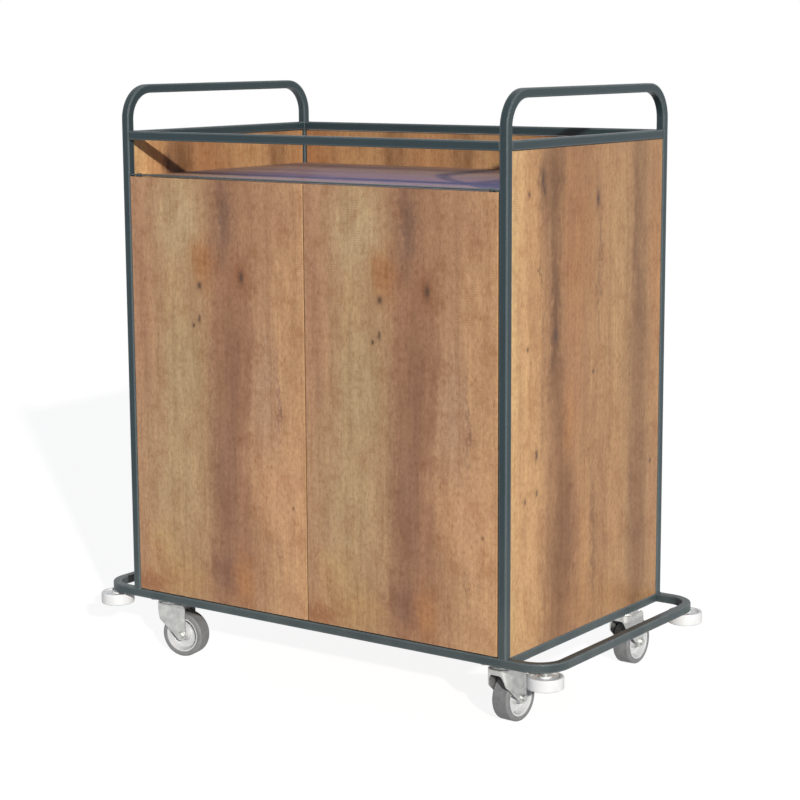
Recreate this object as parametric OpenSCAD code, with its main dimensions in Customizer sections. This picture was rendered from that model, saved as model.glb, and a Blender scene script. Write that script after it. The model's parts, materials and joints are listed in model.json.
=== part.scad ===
// Minibar cart: a welded square-tube frame with oak-laminate panels, two inset pivot doors,
// an open tray on top, four swivel casters and a bumper ring with four corner rollers.
// Origin: on the floor, at the middle of the cart. X is the width, -Y the front, +Z up.

/* [Frame] */
// Width over the side posts
frame_w = 1060; // [900:10:1200]
// Depth over the front and rear posts
frame_d = 680; // [560:10:760]
// Side of the square tube
tube = 20; // [18:1:25]
// Wall of the square tube
tube_wall = 1.5; // [1.2:0.1:2.5]
// Outer corner radius of the square tube
tube_corner = 2.5; // [1:0.5:4]
// Height of a side hoop above the base ring
hoop_h = 1196; // [1000:2:1300]
// Centreline radius of a hoop's two bends
hoop_bend = 52; // [40:1:90]
// Drop from the top of the handle to the top of the upper rails
rail_drop = 106; // [90:1:160]

/* [Bumper ring] */
// How far the ring reaches past the side posts
ring_reach = 110; // [90:5:160]
// Centreline radius of the ring's corners
ring_bend = 65; // [50:1:80]
// Diameter of a corner roller
roller_d = 80; // [70:1:100]
// Height of a corner roller
roller_h = 27; // [20:1:34]
// Edge radius of a corner roller
roller_edge = 5; // [2:0.5:8]
// Length of the spacer between the ring and a roller
spacer_h = 7; // [5:0.5:12]
// Outer diameter of that spacer
spacer_d = 18; // [16:0.5:19]
// Diameter of a roller's spindle bolt
spindle_d = 10; // [8:1:12]
// Body diameter of the threaded insert that takes the spindle
insert_d = 14; // [13:0.5:15]

/* [Panels] */
// Thickness of the side and back panels
panel_t = 12; // [9:1:14]
// How far a panel lies inside the outer face of the posts
panel_inset = 2; // [1:0.5:4]
// Free gap between a panel and the frame round it
panel_gap = 1; // [0.5:0.5:2]
// Length of a welded panel lug, along the panel
lug_l = 20; // [16:1:30]
// Height of a welded panel lug
lug_h = 24; // [16:1:40]
// Sheet thickness of the lugs and angles
sheet_t = 3; // [2:0.5:3]
// Shank diameter of the inner screws
screw_d = 4; // [3:0.5:4.5]
// Depth of an inner screw in its panel
screw_bite = 8; // [6:0.5:8.5]

/* [Tray and shelves] */
// Drop from the top of the upper rails to the tray's surface
tray_drop = 104; // [60:1:160]
// Thickness of the tray, shelf and floor boards
board_t = 18; // [15:1:22]
// Height of the lower shelf's top above the floor board
lower_shelf_h = 322; // [280:2:380]
// Height of the upper shelf's top above the floor board
upper_shelf_h = 644; // [560:2:680]
// How far the shelves stand back from the inside of the doors
shelf_setback = 26; // [24:1:60]
// Leg length of the steel angles under the tray
angle_leg = 20; // [16:1:24]
// Pitch of the holes for the shelf supports
hole_pitch = 32; // [24:1:40]
// Diameter of the holes for the shelf supports
hole_d = 5; // [4:0.5:6]

/* [Doors] */
// Thickness of a door
door_t = 18; // [16:1:20]
// Gap between a door and its post
door_side_gap = 2.5; // [2.3:0.1:4]
// Gap between the two doors
door_mid_gap = 3; // [2:0.5:5]
// Gap between a door and the base ring
door_low_gap = 3; // [2.5:0.5:5]
// Gap between a door and the boards behind it
door_back_gap = 4; // [3:0.5:6]
// Distance from the door's edge to its pivot
pivot_in = 20; // [18:1:24]
// Diameter of a pivot pin
pivot_d = 8; // [6:0.5:8]
// Outer diameter of the bush that the pin turns in
bush_d = 12; // [11:0.5:13]
// Depth of a pin in its door
pin_depth = 20; // [15:1:30]
// Opening between a door and the pivot bar above it
ear_gap = 2.5; // [2:0.5:4]
// Thickness of the pivot bar
ear_t = 3; // [2.5:0.5:5]

/* [Push latches] */
// Distance from the middle of the cart to a latch
latch_x = 32; // [20:1:80]
// Width of a latch body
latch_w = 18; // [16:1:24]
// Height of a latch body
latch_h = 16; // [15:1:22]
// Length of a latch body
latch_l = 70; // [56:1:90]
// Diameter of a latch plunger
plunger_d = 8; // [6:0.5:9]
// Travel of a latch plunger
plunger_travel = 3.5; // [2:0.5:4]

/* [Casters] */
// Wheel diameter
wheel_d = 108; // [98:1:114]
// Wheel width
wheel_w = 42; // [36:1:46]
// Height of a caster, from the floor to the top of its plate
caster_h = 147; // [145:1:160]
// Offset of the wheel's axle from the swivel axis
trail = 36; // [33:1:40]
// Distance from the outer face of the side posts to the swivel axis
caster_in_x = 54; // [53:1:80]
// Distance from the outer face of the front or rear posts to the swivel axis
caster_in_y = 78; // [76:1:120]
// Caster plate size across the cart
plate_x = 80; // [76:1:88]
// Caster plate size along the cart's depth
plate_y = 100; // [96:1:110]
// Thickness of a caster's plate
plate_t = 3.5; // [2.5:0.5:5]
// Bolt spacing across the cart
bolt_x = 50; // [48:1:51]
// Bolt spacing along the cart's depth
bolt_y = 80; // [76:1:84]
// Bolt diameter of the casters
bolt_d = 8; // [6:1:8]
// Sheet thickness of a fork
fork_t = 2.5; // [2:0.5:3]
// Diameter of a wheel's axle
axle_d = 8; // [8:1:10]
// Thickness of the mounting plates that are welded under the frame
mount_t = 4; // [3:0.5:6]
// Direction of the front left wheel from its swivel axis
turn_fl = 10; // [-180:1:180]
// Direction of the front right wheel from its swivel axis
turn_fr = 87; // [-180:1:180]
// Direction of the rear left wheel from its swivel axis
turn_rl = 60; // [-180:1:180]
// Direction of the rear right wheel from its swivel axis
turn_rr = 90; // [-180:1:180]

/* [Hidden] */
$fn = 64;

// Colours
slate = "#45525a";
oak = "#b58f66";
zinc = "#b9bcbc";
pale_grey = "#d9d8d4";
tyre_grey = "#8a8a88";
white_nylon = "#e8e6e0";
black_plastic = "#26282a";

// Clearances: a running gap round a pin, a rest gap between parts that slide past each other
run = 0.05;
rest = 0.2;

// Heights
ring_bottom = caster_h + mount_t;
ring_top = ring_bottom + tube;
handle_top = ring_top + hoop_h;
rail_top = handle_top - rail_drop;
rail_bottom = rail_top - tube;
tray_top = rail_top - tray_drop;
tray_bottom = tray_top - board_t;
floor_top = ring_top + board_t;
door_bottom = ring_top + door_low_gap;
door_top = tray_top;

// Half sizes of the frame: outer faces, tube centres, inner faces
out_x = frame_w / 2;
out_y = frame_d / 2;
mid_x = out_x - tube / 2;
mid_y = out_y - tube / 2;
in_x = out_x - tube;
in_y = out_y - tube;

// Panels: inner faces of the side and back panels
side_face = out_x - panel_inset - panel_t;
back_face = out_y - panel_inset - panel_t;

// Doors and the boards behind them
door_back = -out_y + door_t;
board_front = door_back + door_back_gap;
board_back = back_face - panel_gap;
board_x = side_face - panel_gap;
pivot_x = in_x - door_side_gap - pivot_in;
pivot_y = -out_y + door_t / 2;
heel_r = sqrt(pivot_in * pivot_in + door_t * door_t / 4);
heel_clear = 1.5;
door_w = in_x - door_side_gap - door_mid_gap / 2;
edge_r = 1;

// Tray stiffener and latches
stiffener_y = pivot_y + heel_r + 7;
latch_front = board_front + 6;
latch_z = tray_bottom - tube - latch_h / 2;
striker_t = 1.2;
striker_w = 28;
striker_h = 14;
tip_d = 12;
tip_l = 3;
rod_back = latch_front + 24;

// Screws and lugs
head_d = 2 * screw_d;
head_h = 0.6 * screw_d;
lug_levels = [floor_top + 0.1 * (tray_bottom - floor_top),
              floor_top + 0.5 * (tray_bottom - floor_top),
              floor_top + 0.9 * (tray_bottom - floor_top)];

// Shelf supports
support_w = 12;
support_drop = 12;
support_reach = 11;
ledge_t = 2;
support_y = [-in_y + 96, in_y - 96];
support_peg = 8;
row_holes = 5;

// Bumper rollers stand on the middle of the ring's corner bends
corner_x = out_x + ring_reach - tube / 2 - ring_bend;
corner_y = mid_y - ring_bend;
roller_x = corner_x + ring_bend * cos(45);
roller_y = corner_y + ring_bend * sin(45);
roller_top = ring_bottom - spacer_h;
roller_low = roller_top - roller_h;
roller_hub_d = 26;
spindle_head = 1.7 * spindle_d;
spindle_head_h = 0.55 * spindle_d;

// Casters
caster_x = out_x - caster_in_x;
caster_y = out_y - caster_in_y;
nut_af = 1.625 * bolt_d;
nut_h = 0.8 * bolt_d;
nut_r = nut_af / sqrt(3);
bearer_x = caster_x - bolt_x / 2 - nut_r - 3 - tube / 2;
plate_low = caster_h - plate_t;
race_gap = rest + 0.1;
race_h = 9;
race_r = 34;
dome_h = 4.2;
dome_r = 30;
crown_top = plate_low - race_h - race_gap - dome_h;
crown_low = crown_top - fork_t;
crown_r = 34;
kingpin_d = 12;
lower_race_h = 4;
lower_race_r = 17;
fork_gap = wheel_w / 2 + 2.5;
fork_half = fork_gap + fork_t;
fork_corner = 16;
fork_edge = 4;
skirt_h = 5;
leg_tip_r = 13;
seat_h = 1.5;
fork_back = trail + 2 * leg_tip_r;
axle_z = wheel_d / 2;
axle_af = 1.625 * axle_d;
tyre_t = 12;
tyre_shoulder = 8;
hub_r = wheel_d / 2 - tyre_t;
boss_r = 13;
web_t = 8;
rim_t = 4;

// Pieces that repeat

function hex_r(across_flats) = across_flats / sqrt(3);

// A square with rounded corners, centred
module rounded_square(side_x, side_y, r) {
  square([side_x - 2 * r, side_y], center = true);
  square([side_x, side_y - 2 * r], center = true);
  for (sx = [-1, 1], sy = [-1, 1])
    translate([sx * (side_x / 2 - r), sy * (side_y / 2 - r)]) circle(r);
}

module tube_profile() {
  difference() {
    rounded_square(tube, tube, tube_corner);
    square(tube - 2 * tube_wall, center = true);
  }
}

// Straight tubes that start at the origin
module tube_x(length) rotate([90, 0, 90]) linear_extrude(length) tube_profile();
module tube_y(length) rotate([-90, 0, 0]) linear_extrude(length) tube_profile();

// Outline with some corners rounded in short steps. Each point is [x, y, radius], and a rounded
// one is convex, with the outline running anticlockwise
module rounded_outline(points) {
  n = len(points);
  polygon([for (i = [0:n - 1])
    let (a = points[(i + n - 1) % n], p = points[i], b = points[(i + 1) % n])
    each p[2] > 0 ? corner_steps(a, p, b) : [flat(p)]]);
}

function flat(p) = [p[0], p[1]];
function way(p, q) = (flat(q) - flat(p)) / norm(flat(q) - flat(p));
function corner_steps(a, p, b, step = 7) =
  let (
    turn = 180 - acos(way(p, a) * way(p, b)),
    half_way = way(p, a) + way(p, b),
    centre = flat(p) + half_way / norm(half_way) * p[2] / cos(turn / 2),
    start = atan2(way(a, p)[1], way(a, p)[0]) - 90,
    count = ceil(turn / step))
  [for (k = [0:count]) centre + p[2] * [cos(start + turn * k / count), sin(start + turn * k / count)]];

// A quarter bend about the origin, from +X to +Y
module tube_bend(r) rotate_extrude(angle = 90) translate([r, 0]) tube_profile();

// Straight tube along X or Y, centred on its middle
module centred_tube_x(length) translate([-length / 2, 0, 0]) tube_x(length);
module centred_tube_y(length) translate([0, -length / 2, 0]) tube_y(length);

// The four copies of something that stands at each corner of the cart
module at_corners(x, y) {
  for (sx = [-1, 1], sy = [-1, 1]) translate([sx * x, sy * y, 0]) children();
}

// A board that lies flat, with eased edges, from x, y, z to the far corner
module eased_board(x0, x1, y0, y1, z0, z1) {
  translate([(x0 + x1) / 2, (y0 + y1) / 2, z0])
    linear_extrude(z1 - z0) rounded_square(x1 - x0, y1 - y0, edge_r);
}

// Pan-head screw along +Z: the head's seat is at the origin
module pan_screw(length) {
  cylinder(d = screw_d, h = length);
  translate([0, 0, -head_h]) cylinder(d1 = 0.7 * head_d, d2 = head_d, h = head_h / 2);
  translate([0, 0, -head_h / 2]) cylinder(d = head_d, h = head_h / 2);
}

// Frame

// A side hoop, an upturned U of one bent tube that stands on the base ring
module side_hoop(side) {
  bar_z = handle_top - tube / 2;
  bend_z = bar_z - hoop_bend;
  translate([side * mid_x, 0, 0]) {
    for (s = [-1, 1]) {
      translate([0, s * mid_y, ring_top]) linear_extrude(bend_z - ring_top) tube_profile();
    }
    translate([0, mid_y - hoop_bend, bend_z]) rotate([90, 0, 90]) tube_bend(hoop_bend);
    mirror([0, 1, 0]) translate([0, mid_y - hoop_bend, bend_z])
      rotate([90, 0, 90]) tube_bend(hoop_bend);
    translate([0, 0, bar_z]) centred_tube_y(2 * (mid_y - hoop_bend));
  }
}

module left_side_hoop() { color(slate) side_hoop(-1); }
module right_side_hoop() { color(slate) side_hoop(1); }

module front_top_rail() {
  color(slate) translate([0, -mid_y, rail_top - tube / 2]) centred_tube_x(2 * in_x);
}

module back_top_rail() {
  color(slate) translate([0, mid_y, rail_top - tube / 2]) centred_tube_x(2 * in_x);
}

module side_top_rails() {
  color(slate) for (s = [-1, 1])
    translate([s * mid_x, 0, rail_top - tube / 2]) centred_tube_y(2 * in_y);
}

// One closed loop: its front and rear bars carry the posts, its ends are the bumper bars
module bumper_ring() {
  color(slate) difference() {
    translate([0, 0, ring_bottom + tube / 2]) {
      for (s = [-1, 1]) {
        translate([0, s * mid_y, 0]) centred_tube_x(2 * corner_x);
        translate([s * (corner_x + ring_bend), 0, 0]) centred_tube_y(2 * corner_y);
      }
      for (a = [0, 1], b = [0, 1]) mirror([a, 0, 0]) mirror([0, b, 0])
        translate([corner_x, corner_y, 0]) tube_bend(ring_bend);
    }
    at_corners(roller_x, roller_y)
      translate([0, 0, ring_bottom - 1]) cylinder(d = insert_d, h = tube_wall + 2);
  }
}

// Side rails under the panels, and bearers that carry the casters and the floor board
module base_rails() {
  color(slate) for (x = [-mid_x, -bearer_x, bearer_x, mid_x])
    translate([x, 0, ring_bottom + tube / 2]) centred_tube_y(2 * in_y);
}

// Plates welded under a bearer and a side rail
module caster_mounting_plates() {
  x0 = bearer_x - tube / 2;
  x1 = mid_x;
  length = plate_y + 10;
  color(slate) for (sx = [-1, 1], sy = [-1, 1]) difference() {
    translate([sx * (x0 + x1) / 2, sy * caster_y, caster_h])
      linear_extrude(mount_t) rounded_square(x1 - x0, length, 4);
    translate([sx * caster_x, sy * caster_y, caster_h - 1])
      bolt_holes(bolt_d + 1, mount_t + 2);
  }
}

module bolt_holes(d, h) {
  for (x = [-bolt_x / 2, bolt_x / 2], y = [-bolt_y / 2, bolt_y / 2])
    translate([x, y, 0]) cylinder(d = d, h = h);
}

// Panels

// Left panel: holes for the lug screws, the tray angle's screws and the shelf supports
module left_panel_solid() {
  z1 = rail_bottom - panel_gap;
  difference() {
    translate([-side_face - panel_t / 2, 0, ring_top])
      linear_extrude(z1 - ring_top)
        rounded_square(panel_t, 2 * (in_y - panel_gap), edge_r);
    for (z = lug_levels, s = [-1, 1]) translate([-side_face + 1, s * (in_y - lug_l / 2), z])
      rotate([0, -90, 0]) cylinder(d = screw_d, h = screw_bite + 1);
    for (y = tray_screw_y) translate([-side_face + 1, y, tray_bottom - angle_leg / 2])
      rotate([0, -90, 0]) cylinder(d = screw_d, h = screw_bite + 1);
    for (top = [lower_shelf_h, upper_shelf_h], y = support_y, n = [1:row_holes])
      translate([-side_face + 1, y, shelf_peg_z(top) + (n - (row_holes + 1) / 2) * hole_pitch])
        rotate([0, -90, 0]) cylinder(d = hole_d, h = support_peg + 1);
  }
}

function shelf_peg_z(top) = floor_top + top - board_t - support_drop + hole_d;
tray_screw_y = [-in_y * 0.6, 0, in_y * 0.6];

module left_side_panel() { color(oak) left_panel_solid(); }
module right_side_panel() { color(oak) mirror([1, 0, 0]) left_panel_solid(); }

module back_panel() {
  z1 = rail_bottom - panel_gap;
  color(oak) difference() {
    eased_board(-in_x + panel_gap, in_x - panel_gap, back_face, back_face + panel_t, ring_top, z1);
    for (z = lug_levels, s = [-1, 1]) translate([s * (in_x - lug_l / 2), back_face - 1, z])
      rotate([-90, 0, 0]) cylinder(d = screw_d, h = screw_bite + 1);
    for (x = back_screw_x) translate([x, back_face - 1, tray_bottom - angle_leg / 2])
      rotate([-90, 0, 0]) cylinder(d = screw_d, h = screw_bite + 1);
  }
}

back_screw_x = [-in_x * 0.7, 0, in_x * 0.7];

// Lugs welded to the posts: they hold the panels from the inside
module panel_lugs() {
  hole = screw_d + 0.5;
  color(slate) {
    for (sx = [-1, 1], sy = [-1, 1], z = lug_levels) {
      difference() {
        translate([sx * (side_face - sheet_t / 2), sy * (in_y - lug_l / 2), z])
          cube([sheet_t, lug_l, lug_h], center = true);
        translate([sx * (side_face - sheet_t - 1), sy * (in_y - lug_l / 2), z])
          rotate([0, sx * 90, 0]) cylinder(d = hole, h = sheet_t + 2);
      }
    }
    for (sx = [-1, 1], z = lug_levels) {
      difference() {
        translate([sx * (in_x - lug_l / 2), back_face - sheet_t / 2, z])
          cube([lug_l, sheet_t, lug_h], center = true);
        translate([sx * (in_x - lug_l / 2), back_face - sheet_t - 1, z])
          rotate([-90, 0, 0]) cylinder(d = hole, h = sheet_t + 2);
      }
    }
  }
}

// Every screw inside the cabinet: lugs to panels and tray angles to panels
module inner_screws() {
  length = sheet_t + screw_bite;
  color(zinc) {
    for (sx = [-1, 1], sy = [-1, 1], z = lug_levels)
      translate([sx * (side_face - sheet_t), sy * (in_y - lug_l / 2), z])
        rotate([0, sx * 90, 0]) pan_screw(length);
    for (sx = [-1, 1], z = lug_levels)
      translate([sx * (in_x - lug_l / 2), back_face - sheet_t, z])
        rotate([-90, 0, 0]) pan_screw(length);
    for (sx = [-1, 1], y = tray_screw_y)
      translate([sx * (side_face - sheet_t), y, tray_bottom - angle_leg / 2])
        rotate([0, sx * 90, 0]) pan_screw(length);
    for (x = back_screw_x)
      translate([x, back_face - sheet_t, tray_bottom - angle_leg / 2])
        rotate([-90, 0, 0]) pan_screw(length);
  }
}

// Boards

// Corner notches: the door heels swing through the front ones, the posts fill the rear ones
module board_notches(z0, h) {
  notch_in = pivot_x - heel_r - heel_clear;
  notch_y = pivot_y + heel_r + heel_clear;
  for (s = [-1, 1]) {
    translate([s > 0 ? notch_in : -out_x, -out_y, z0])
      cube([out_x - notch_in, notch_y + out_y, h]);
    translate([s > 0 ? in_x - panel_gap : -out_x, in_y - panel_gap, z0])
      cube([tube + panel_gap, tube + panel_gap, h]);
  }
}

module full_board(z0) {
  difference() {
    eased_board(-board_x, board_x, board_front, board_back, z0, z0 + board_t);
    board_notches(z0 - 1, board_t + 2);
  }
}

module floor_board() { color(oak) full_board(ring_top); }
module tray_board() { color(oak) full_board(tray_bottom); }

module shelf(top) {
  z1 = floor_top + top;
  eased_board(-board_x, board_x, door_back + shelf_setback, in_y - 2, z1 - board_t, z1);
}

module lower_shelf() { color(oak) shelf(lower_shelf_h); }
module upper_shelf() { color(oak) shelf(upper_shelf_h); }

// Flat-topped pegs that the shelves lie on
module shelf_supports() {
  color(zinc) for (sx = [-1, 1], y = support_y, top = [lower_shelf_h, upper_shelf_h]) {
    under = floor_top + top - board_t;
    translate([sx * side_face, y, under]) mirror([sx > 0 ? 0 : 1, 0, 0]) {
      translate([-2.5, -support_w / 2, -support_drop]) cube([2.5, support_w, support_drop]);
      translate([-support_reach, -support_w / 2, -ledge_t]) cube([support_reach, support_w, ledge_t]);
      translate([-1, 0, hole_d - support_drop]) rotate([0, 90, 0])
        cylinder(d = hole_d, h = support_peg + 1);
    }
  }
}

// Steel angle along Y with its corner at the origin: one leg down, one leg inwards
module angle_profile() {
  translate([-sheet_t, -angle_leg]) square([sheet_t, angle_leg]);
  translate([-angle_leg, -sheet_t]) square([angle_leg, sheet_t]);
}

module tray_angles() {
  front = stiffener_y;
  hole = screw_d + 0.5;
  color(slate) {
    for (sx = [-1, 1]) mirror([sx > 0 ? 0 : 1, 0, 0]) difference() {
      translate([side_face, in_y - 2, tray_bottom]) rotate([90, 0, 0])
        linear_extrude(in_y - 2 - front) angle_profile();
      for (y = tray_screw_y) translate([side_face - sheet_t - 1, y, tray_bottom - angle_leg / 2])
        rotate([0, 90, 0]) cylinder(d = hole, h = sheet_t + 2);
    }
    difference() {
      half = side_face - angle_leg - 2;
      translate([half, back_face, tray_bottom]) rotate([90, 0, -90])
        linear_extrude(2 * half) mirror([1, 0, 0]) angle_profile();
      for (x = back_screw_x) translate([x, back_face - sheet_t - 1, tray_bottom - angle_leg / 2])
        rotate([-90, 0, 0]) cylinder(d = hole, h = sheet_t + 2);
    }
  }
}

// Tube under the tray's front edge, welded between the side angles
module tray_stiffener() {
  color(slate) translate([0, stiffener_y + tube / 2, tray_bottom - tube / 2])
    centred_tube_x(2 * (side_face - angle_leg));
}

// Doors

module left_door_solid() {
  difference() {
    translate([-in_x + door_side_gap + door_w / 2, pivot_y, door_bottom])
      linear_extrude(door_top - door_bottom) rounded_square(door_w, door_t, edge_r);
    for (z = [door_bottom - 1, door_top - pin_depth - 2])
      translate([-pivot_x, pivot_y, z]) cylinder(d = bush_d, h = pin_depth + 3);
  }
}

module left_door() { color(oak) left_door_solid(); }
module right_door() { color(oak) mirror([1, 0, 0]) left_door_solid(); }

// Flush plastic bushes, pressed into the door's top and bottom edges
module left_bushes() {
  for (z = [door_bottom, door_top - pin_depth - 2]) translate([-pivot_x, pivot_y, z]) difference() {
    cylinder(d = bush_d, h = pin_depth + 2);
    translate([0, 0, -1]) cylinder(d = pivot_d + 2 * run, h = pin_depth + 4);
  }
}

module left_door_bushes() { color(black_plastic) left_bushes(); }
module right_door_bushes() { color(black_plastic) mirror([1, 0, 0]) left_bushes(); }

// Flat bar welded between the front posts, with the doors' upper pivots in it
module pivot_ears() {
  color(slate) difference() {
    translate([-in_x, pivot_y - ear_half, door_top + ear_gap]) cube([2 * in_x, 2 * ear_half, ear_t]);
    for (s = [-1, 1]) translate([s * pivot_x, pivot_y, door_top])
      cylinder(d = pivot_d, h = ear_gap + ear_t + 1);
  }
}

ear_half = min(door_t, tube - 2 * tube_corner) / 2;
flange_t = 1;

module pivot_pins() {
  color(slate) for (s = [-1, 1]) translate([s * pivot_x, pivot_y, 0]) {
    translate([0, 0, ring_top]) cylinder(d = 2 * pivot_d, h = flange_t);
    translate([0, 0, ring_top]) cylinder(d = pivot_d, h = door_low_gap + pin_depth);
    translate([0, 0, door_top - pin_depth]) cylinder(d = pivot_d, h = pin_depth + ear_gap + ear_t);
    translate([0, 0, door_top + ear_gap + ear_t]) cylinder(d = 1.5 * pivot_d, h = 1.5);
  }
}

module pivot_washers() {
  color(black_plastic) for (s = [-1, 1]) translate([s * pivot_x, pivot_y, 0]) difference() {
    union() {
      translate([0, 0, ring_top + flange_t])
        cylinder(d = 2 * pivot_d, h = door_low_gap - flange_t - rest);
      translate([0, 0, door_top + rest]) cylinder(d = 1.7 * pivot_d, h = ear_gap - rest);
    }
    translate([0, 0, ring_top - 1]) cylinder(d = pivot_d, h = handle_top);
  }
}

// Push latches

module latch_bodies() {
  color(black_plastic) for (s = [-1, 1]) translate([s * latch_x, 0, latch_z]) difference() {
    union() {
      translate([0, latch_front, 0]) rotate([-90, 0, 0])
        linear_extrude(latch_l) rounded_square(latch_w, latch_h, 2);
      translate([-latch_w / 2, stiffener_y, 0]) cube([latch_w, tube, latch_h / 2]);
    }
    translate([0, latch_front - 1, 0]) rotate([-90, 0, 0])
      cylinder(d = plunger_d + 2 * run, h = rod_back - latch_front + plunger_travel + 2);
  }
}

module plunger(side) {
  tip = door_back + striker_t + rest;
  color(white_nylon) translate([side * latch_x, tip, latch_z]) rotate([-90, 0, 0]) {
    cylinder(d = tip_d, h = tip_l);
    cylinder(d = plunger_d, h = rod_back - tip);
  }
}

module left_latch_plunger() { plunger(-1); }
module right_latch_plunger() { plunger(1); }

module striker(side) {
  color(zinc) translate([side * latch_x, door_back, latch_z]) rotate([-90, 0, 0])
    linear_extrude(striker_t) rounded_square(striker_w, striker_h, 2);
}

module left_striker_plate() { striker(-1); }
module right_striker_plate() { striker(1); }

// Rubber dots on the floor board's front edge, that the doors close against
module door_buffers() {
  color(black_plastic) for (s = [-1, 1])
    translate([s * 2 * latch_x, door_back + rest, ring_top + board_t / 2]) rotate([-90, 0, 0])
      cylinder(d = 0.6 * board_t, h = door_back_gap - rest);
}

// Corner rollers

module bumper_inserts() {
  color(zinc) at_corners(roller_x, roller_y) difference() {
    translate([0, 0, ring_bottom]) cylinder(d = insert_d, h = tube - tube_wall - 2);
    translate([0, 0, ring_bottom - 1]) cylinder(d = spindle_d, h = tube);
  }
}

module bumper_spacers() {
  color(zinc) at_corners(roller_x, roller_y) difference() {
    translate([0, 0, roller_top + rest]) cylinder(d = spacer_d, h = spacer_h - rest);
    translate([0, 0, roller_top]) cylinder(d = spindle_d, h = spacer_h + 1);
  }
}

// Hexagon bolts that carry the rollers, with a plain washer face
module bumper_spindles() {
  color(zinc) at_corners(roller_x, roller_y) {
    translate([0, 0, roller_low - rest - 2]) cylinder(d = 2.2 * spindle_d, h = 2);
    translate([0, 0, roller_low - rest - 2 - spindle_head_h])
      cylinder(r = hex_r(spindle_head), h = spindle_head_h, $fn = 6);
    translate([0, 0, roller_low - rest - 1])
      cylinder(d = spindle_d, h = ring_bottom + tube - tube_wall - 4 - roller_low);
  }
}

// Roller: a moulded disc with a hub and a shallow dish in both faces
module roller(sx, sy) {
  r = roller_d / 2;
  dish = 3;
  rim = 6;
  color(pale_grey) translate([sx * roller_x, sy * roller_y, roller_low]) rotate_extrude() {
    difference() {
      union() {
        square([r - roller_edge, roller_h]);
        translate([0, roller_edge]) square([r, roller_h - 2 * roller_edge]);
        for (z = [roller_edge, roller_h - roller_edge]) translate([r - roller_edge, z])
          circle(roller_edge);
      }
      translate([-r, -1]) square([r + spindle_d / 2 + run, roller_h + 2]);
      for (z = [-1, roller_h - dish]) translate([roller_hub_d / 2, z])
        square([r - rim - roller_edge / 2 - roller_hub_d / 2, dish + 1]);
    }
  }
}

module front_left_roller() { roller(-1, -1); }
module front_right_roller() { roller(1, -1); }
module rear_left_roller() { roller(-1, 1); }
module rear_right_roller() { roller(1, 1); }

// Casters

module at_casters() { at_corners(caster_x, caster_y) children(); }

// Turns a piece from the caster's own frame, with the wheel along +X, to its place
module place_caster(sx, sy, turn) {
  translate([sx * caster_x, sy * caster_y, 0]) rotate([0, 0, turn]) children();
}

// Pressed top plate with a raised ball race underneath
module caster_top_plates() {
  color(zinc) at_casters() difference() {
    union() {
      translate([0, 0, plate_low]) linear_extrude(plate_t) rounded_square(plate_x, plate_y, 9);
      translate([0, 0, plate_low - race_h]) rotate_extrude() race_profile();
    }
    translate([0, 0, plate_low - 1]) bolt_holes(bolt_d + 1, plate_t + 2);
    translate([0, 0, plate_low - race_h - 1]) cylinder(d = kingpin_d, h = plate_t + race_h + 2);
  }
}

// Half of the race's section: a drawn ring with a round lower edge, hollow under the plate
module race_profile() {
  edge = 3;
  ring_w = 10;
  difference() {
    union() {
      square([race_r - edge, race_h]);
      translate([0, edge]) square([race_r, race_h - edge]);
      translate([race_r - edge, edge]) circle(edge);
    }
    translate([0, -1]) square([race_r - ring_w, race_h - fork_t + 1]);
  }
}

// Rivet that holds the fork to the plate, its wide head under the lower ball race
module caster_kingpins() {
  head_top = crown_low + dome_h - lower_race_h - race_gap;
  color(zinc) at_casters() {
    translate([0, 0, head_top - 1]) cylinder(d = kingpin_d, h = caster_h - head_top + 1);
    translate([0, 0, head_top - 3]) cylinder(d1 = 2 * kingpin_d - 4, d2 = 2 * kingpin_d, h = 3);
  }
}

// Bolts from below, with their nuts on the mounting plates
module caster_bolts() {
  color(zinc) at_casters() for (x = [-bolt_x / 2, bolt_x / 2], y = [-bolt_y / 2, bolt_y / 2])
    translate([x, y, 0]) {
      translate([0, 0, plate_low - 0.65 * bolt_d])
        cylinder(r = nut_r, h = 0.65 * bolt_d, $fn = 6);
      translate([0, 0, plate_low - 1]) cylinder(d = bolt_d, h = plate_t + mount_t + nut_h + 3);
      translate([0, 0, ring_bottom]) cylinder(r = nut_r, h = nut_h, $fn = 6);
    }
}

// Outline of the fork, seen from the side: x along the trail, y up. The skirt's front edge runs
// down to a knee and on to the round tip at the axle
module fork_side() {
  lean = 49;
  tip = [trail, axle_z];
  front = tip + 0.98 * leg_tip_r * [-cos(lean), -sin(lean)];
  knee_run = 69;
  knee_r = 16;
  knee = front + knee_run * [-sin(lean), cos(lean)];
  back_x = trail + leg_tip_r - 1;
  rounded_outline([
    [-2 * fork_half, crown_top + 1, 0], [-2 * fork_half, crown_top - skirt_h, 0],
    [-crown_r, crown_top - skirt_h, 0], [knee[0], knee[1], knee_r], [front[0], front[1], 0],
    [tip[0], tip[1], 0], [back_x, axle_z + 4, 0], [back_x - 1, crown_top + 1, leg_tip_r]]);
  translate(tip) circle(leg_tip_r);
}

// The three outlines of the pressed block, each drawn in by an inset. From above: a flat nose with
// round corners. Across: two sides under a flat crown. From the side: the nose under the crown
module fork_plan(inset) {
  r = fork_corner - inset;
  nose = crown_r - inset;
  half = fork_half - inset;
  translate([-nose + r, -half]) square([nose - r + fork_back, 2 * half]);
  translate([-nose, -half + r]) square([nose + fork_back, 2 * (half - r)]);
  for (s = [-1, 1]) translate([-nose + r, s * (half - r)]) circle(r);
}

module fork_section(inset) {
  r = fork_edge - inset;
  half = fork_half - inset;
  top = crown_top - inset;
  translate([-half, 0]) square([2 * half, top - r]);
  translate([-half + r, 0]) square([2 * (half - r), top]);
  for (s = [-1, 1]) translate([s * (half - r), top - r]) circle(r);
}

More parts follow.
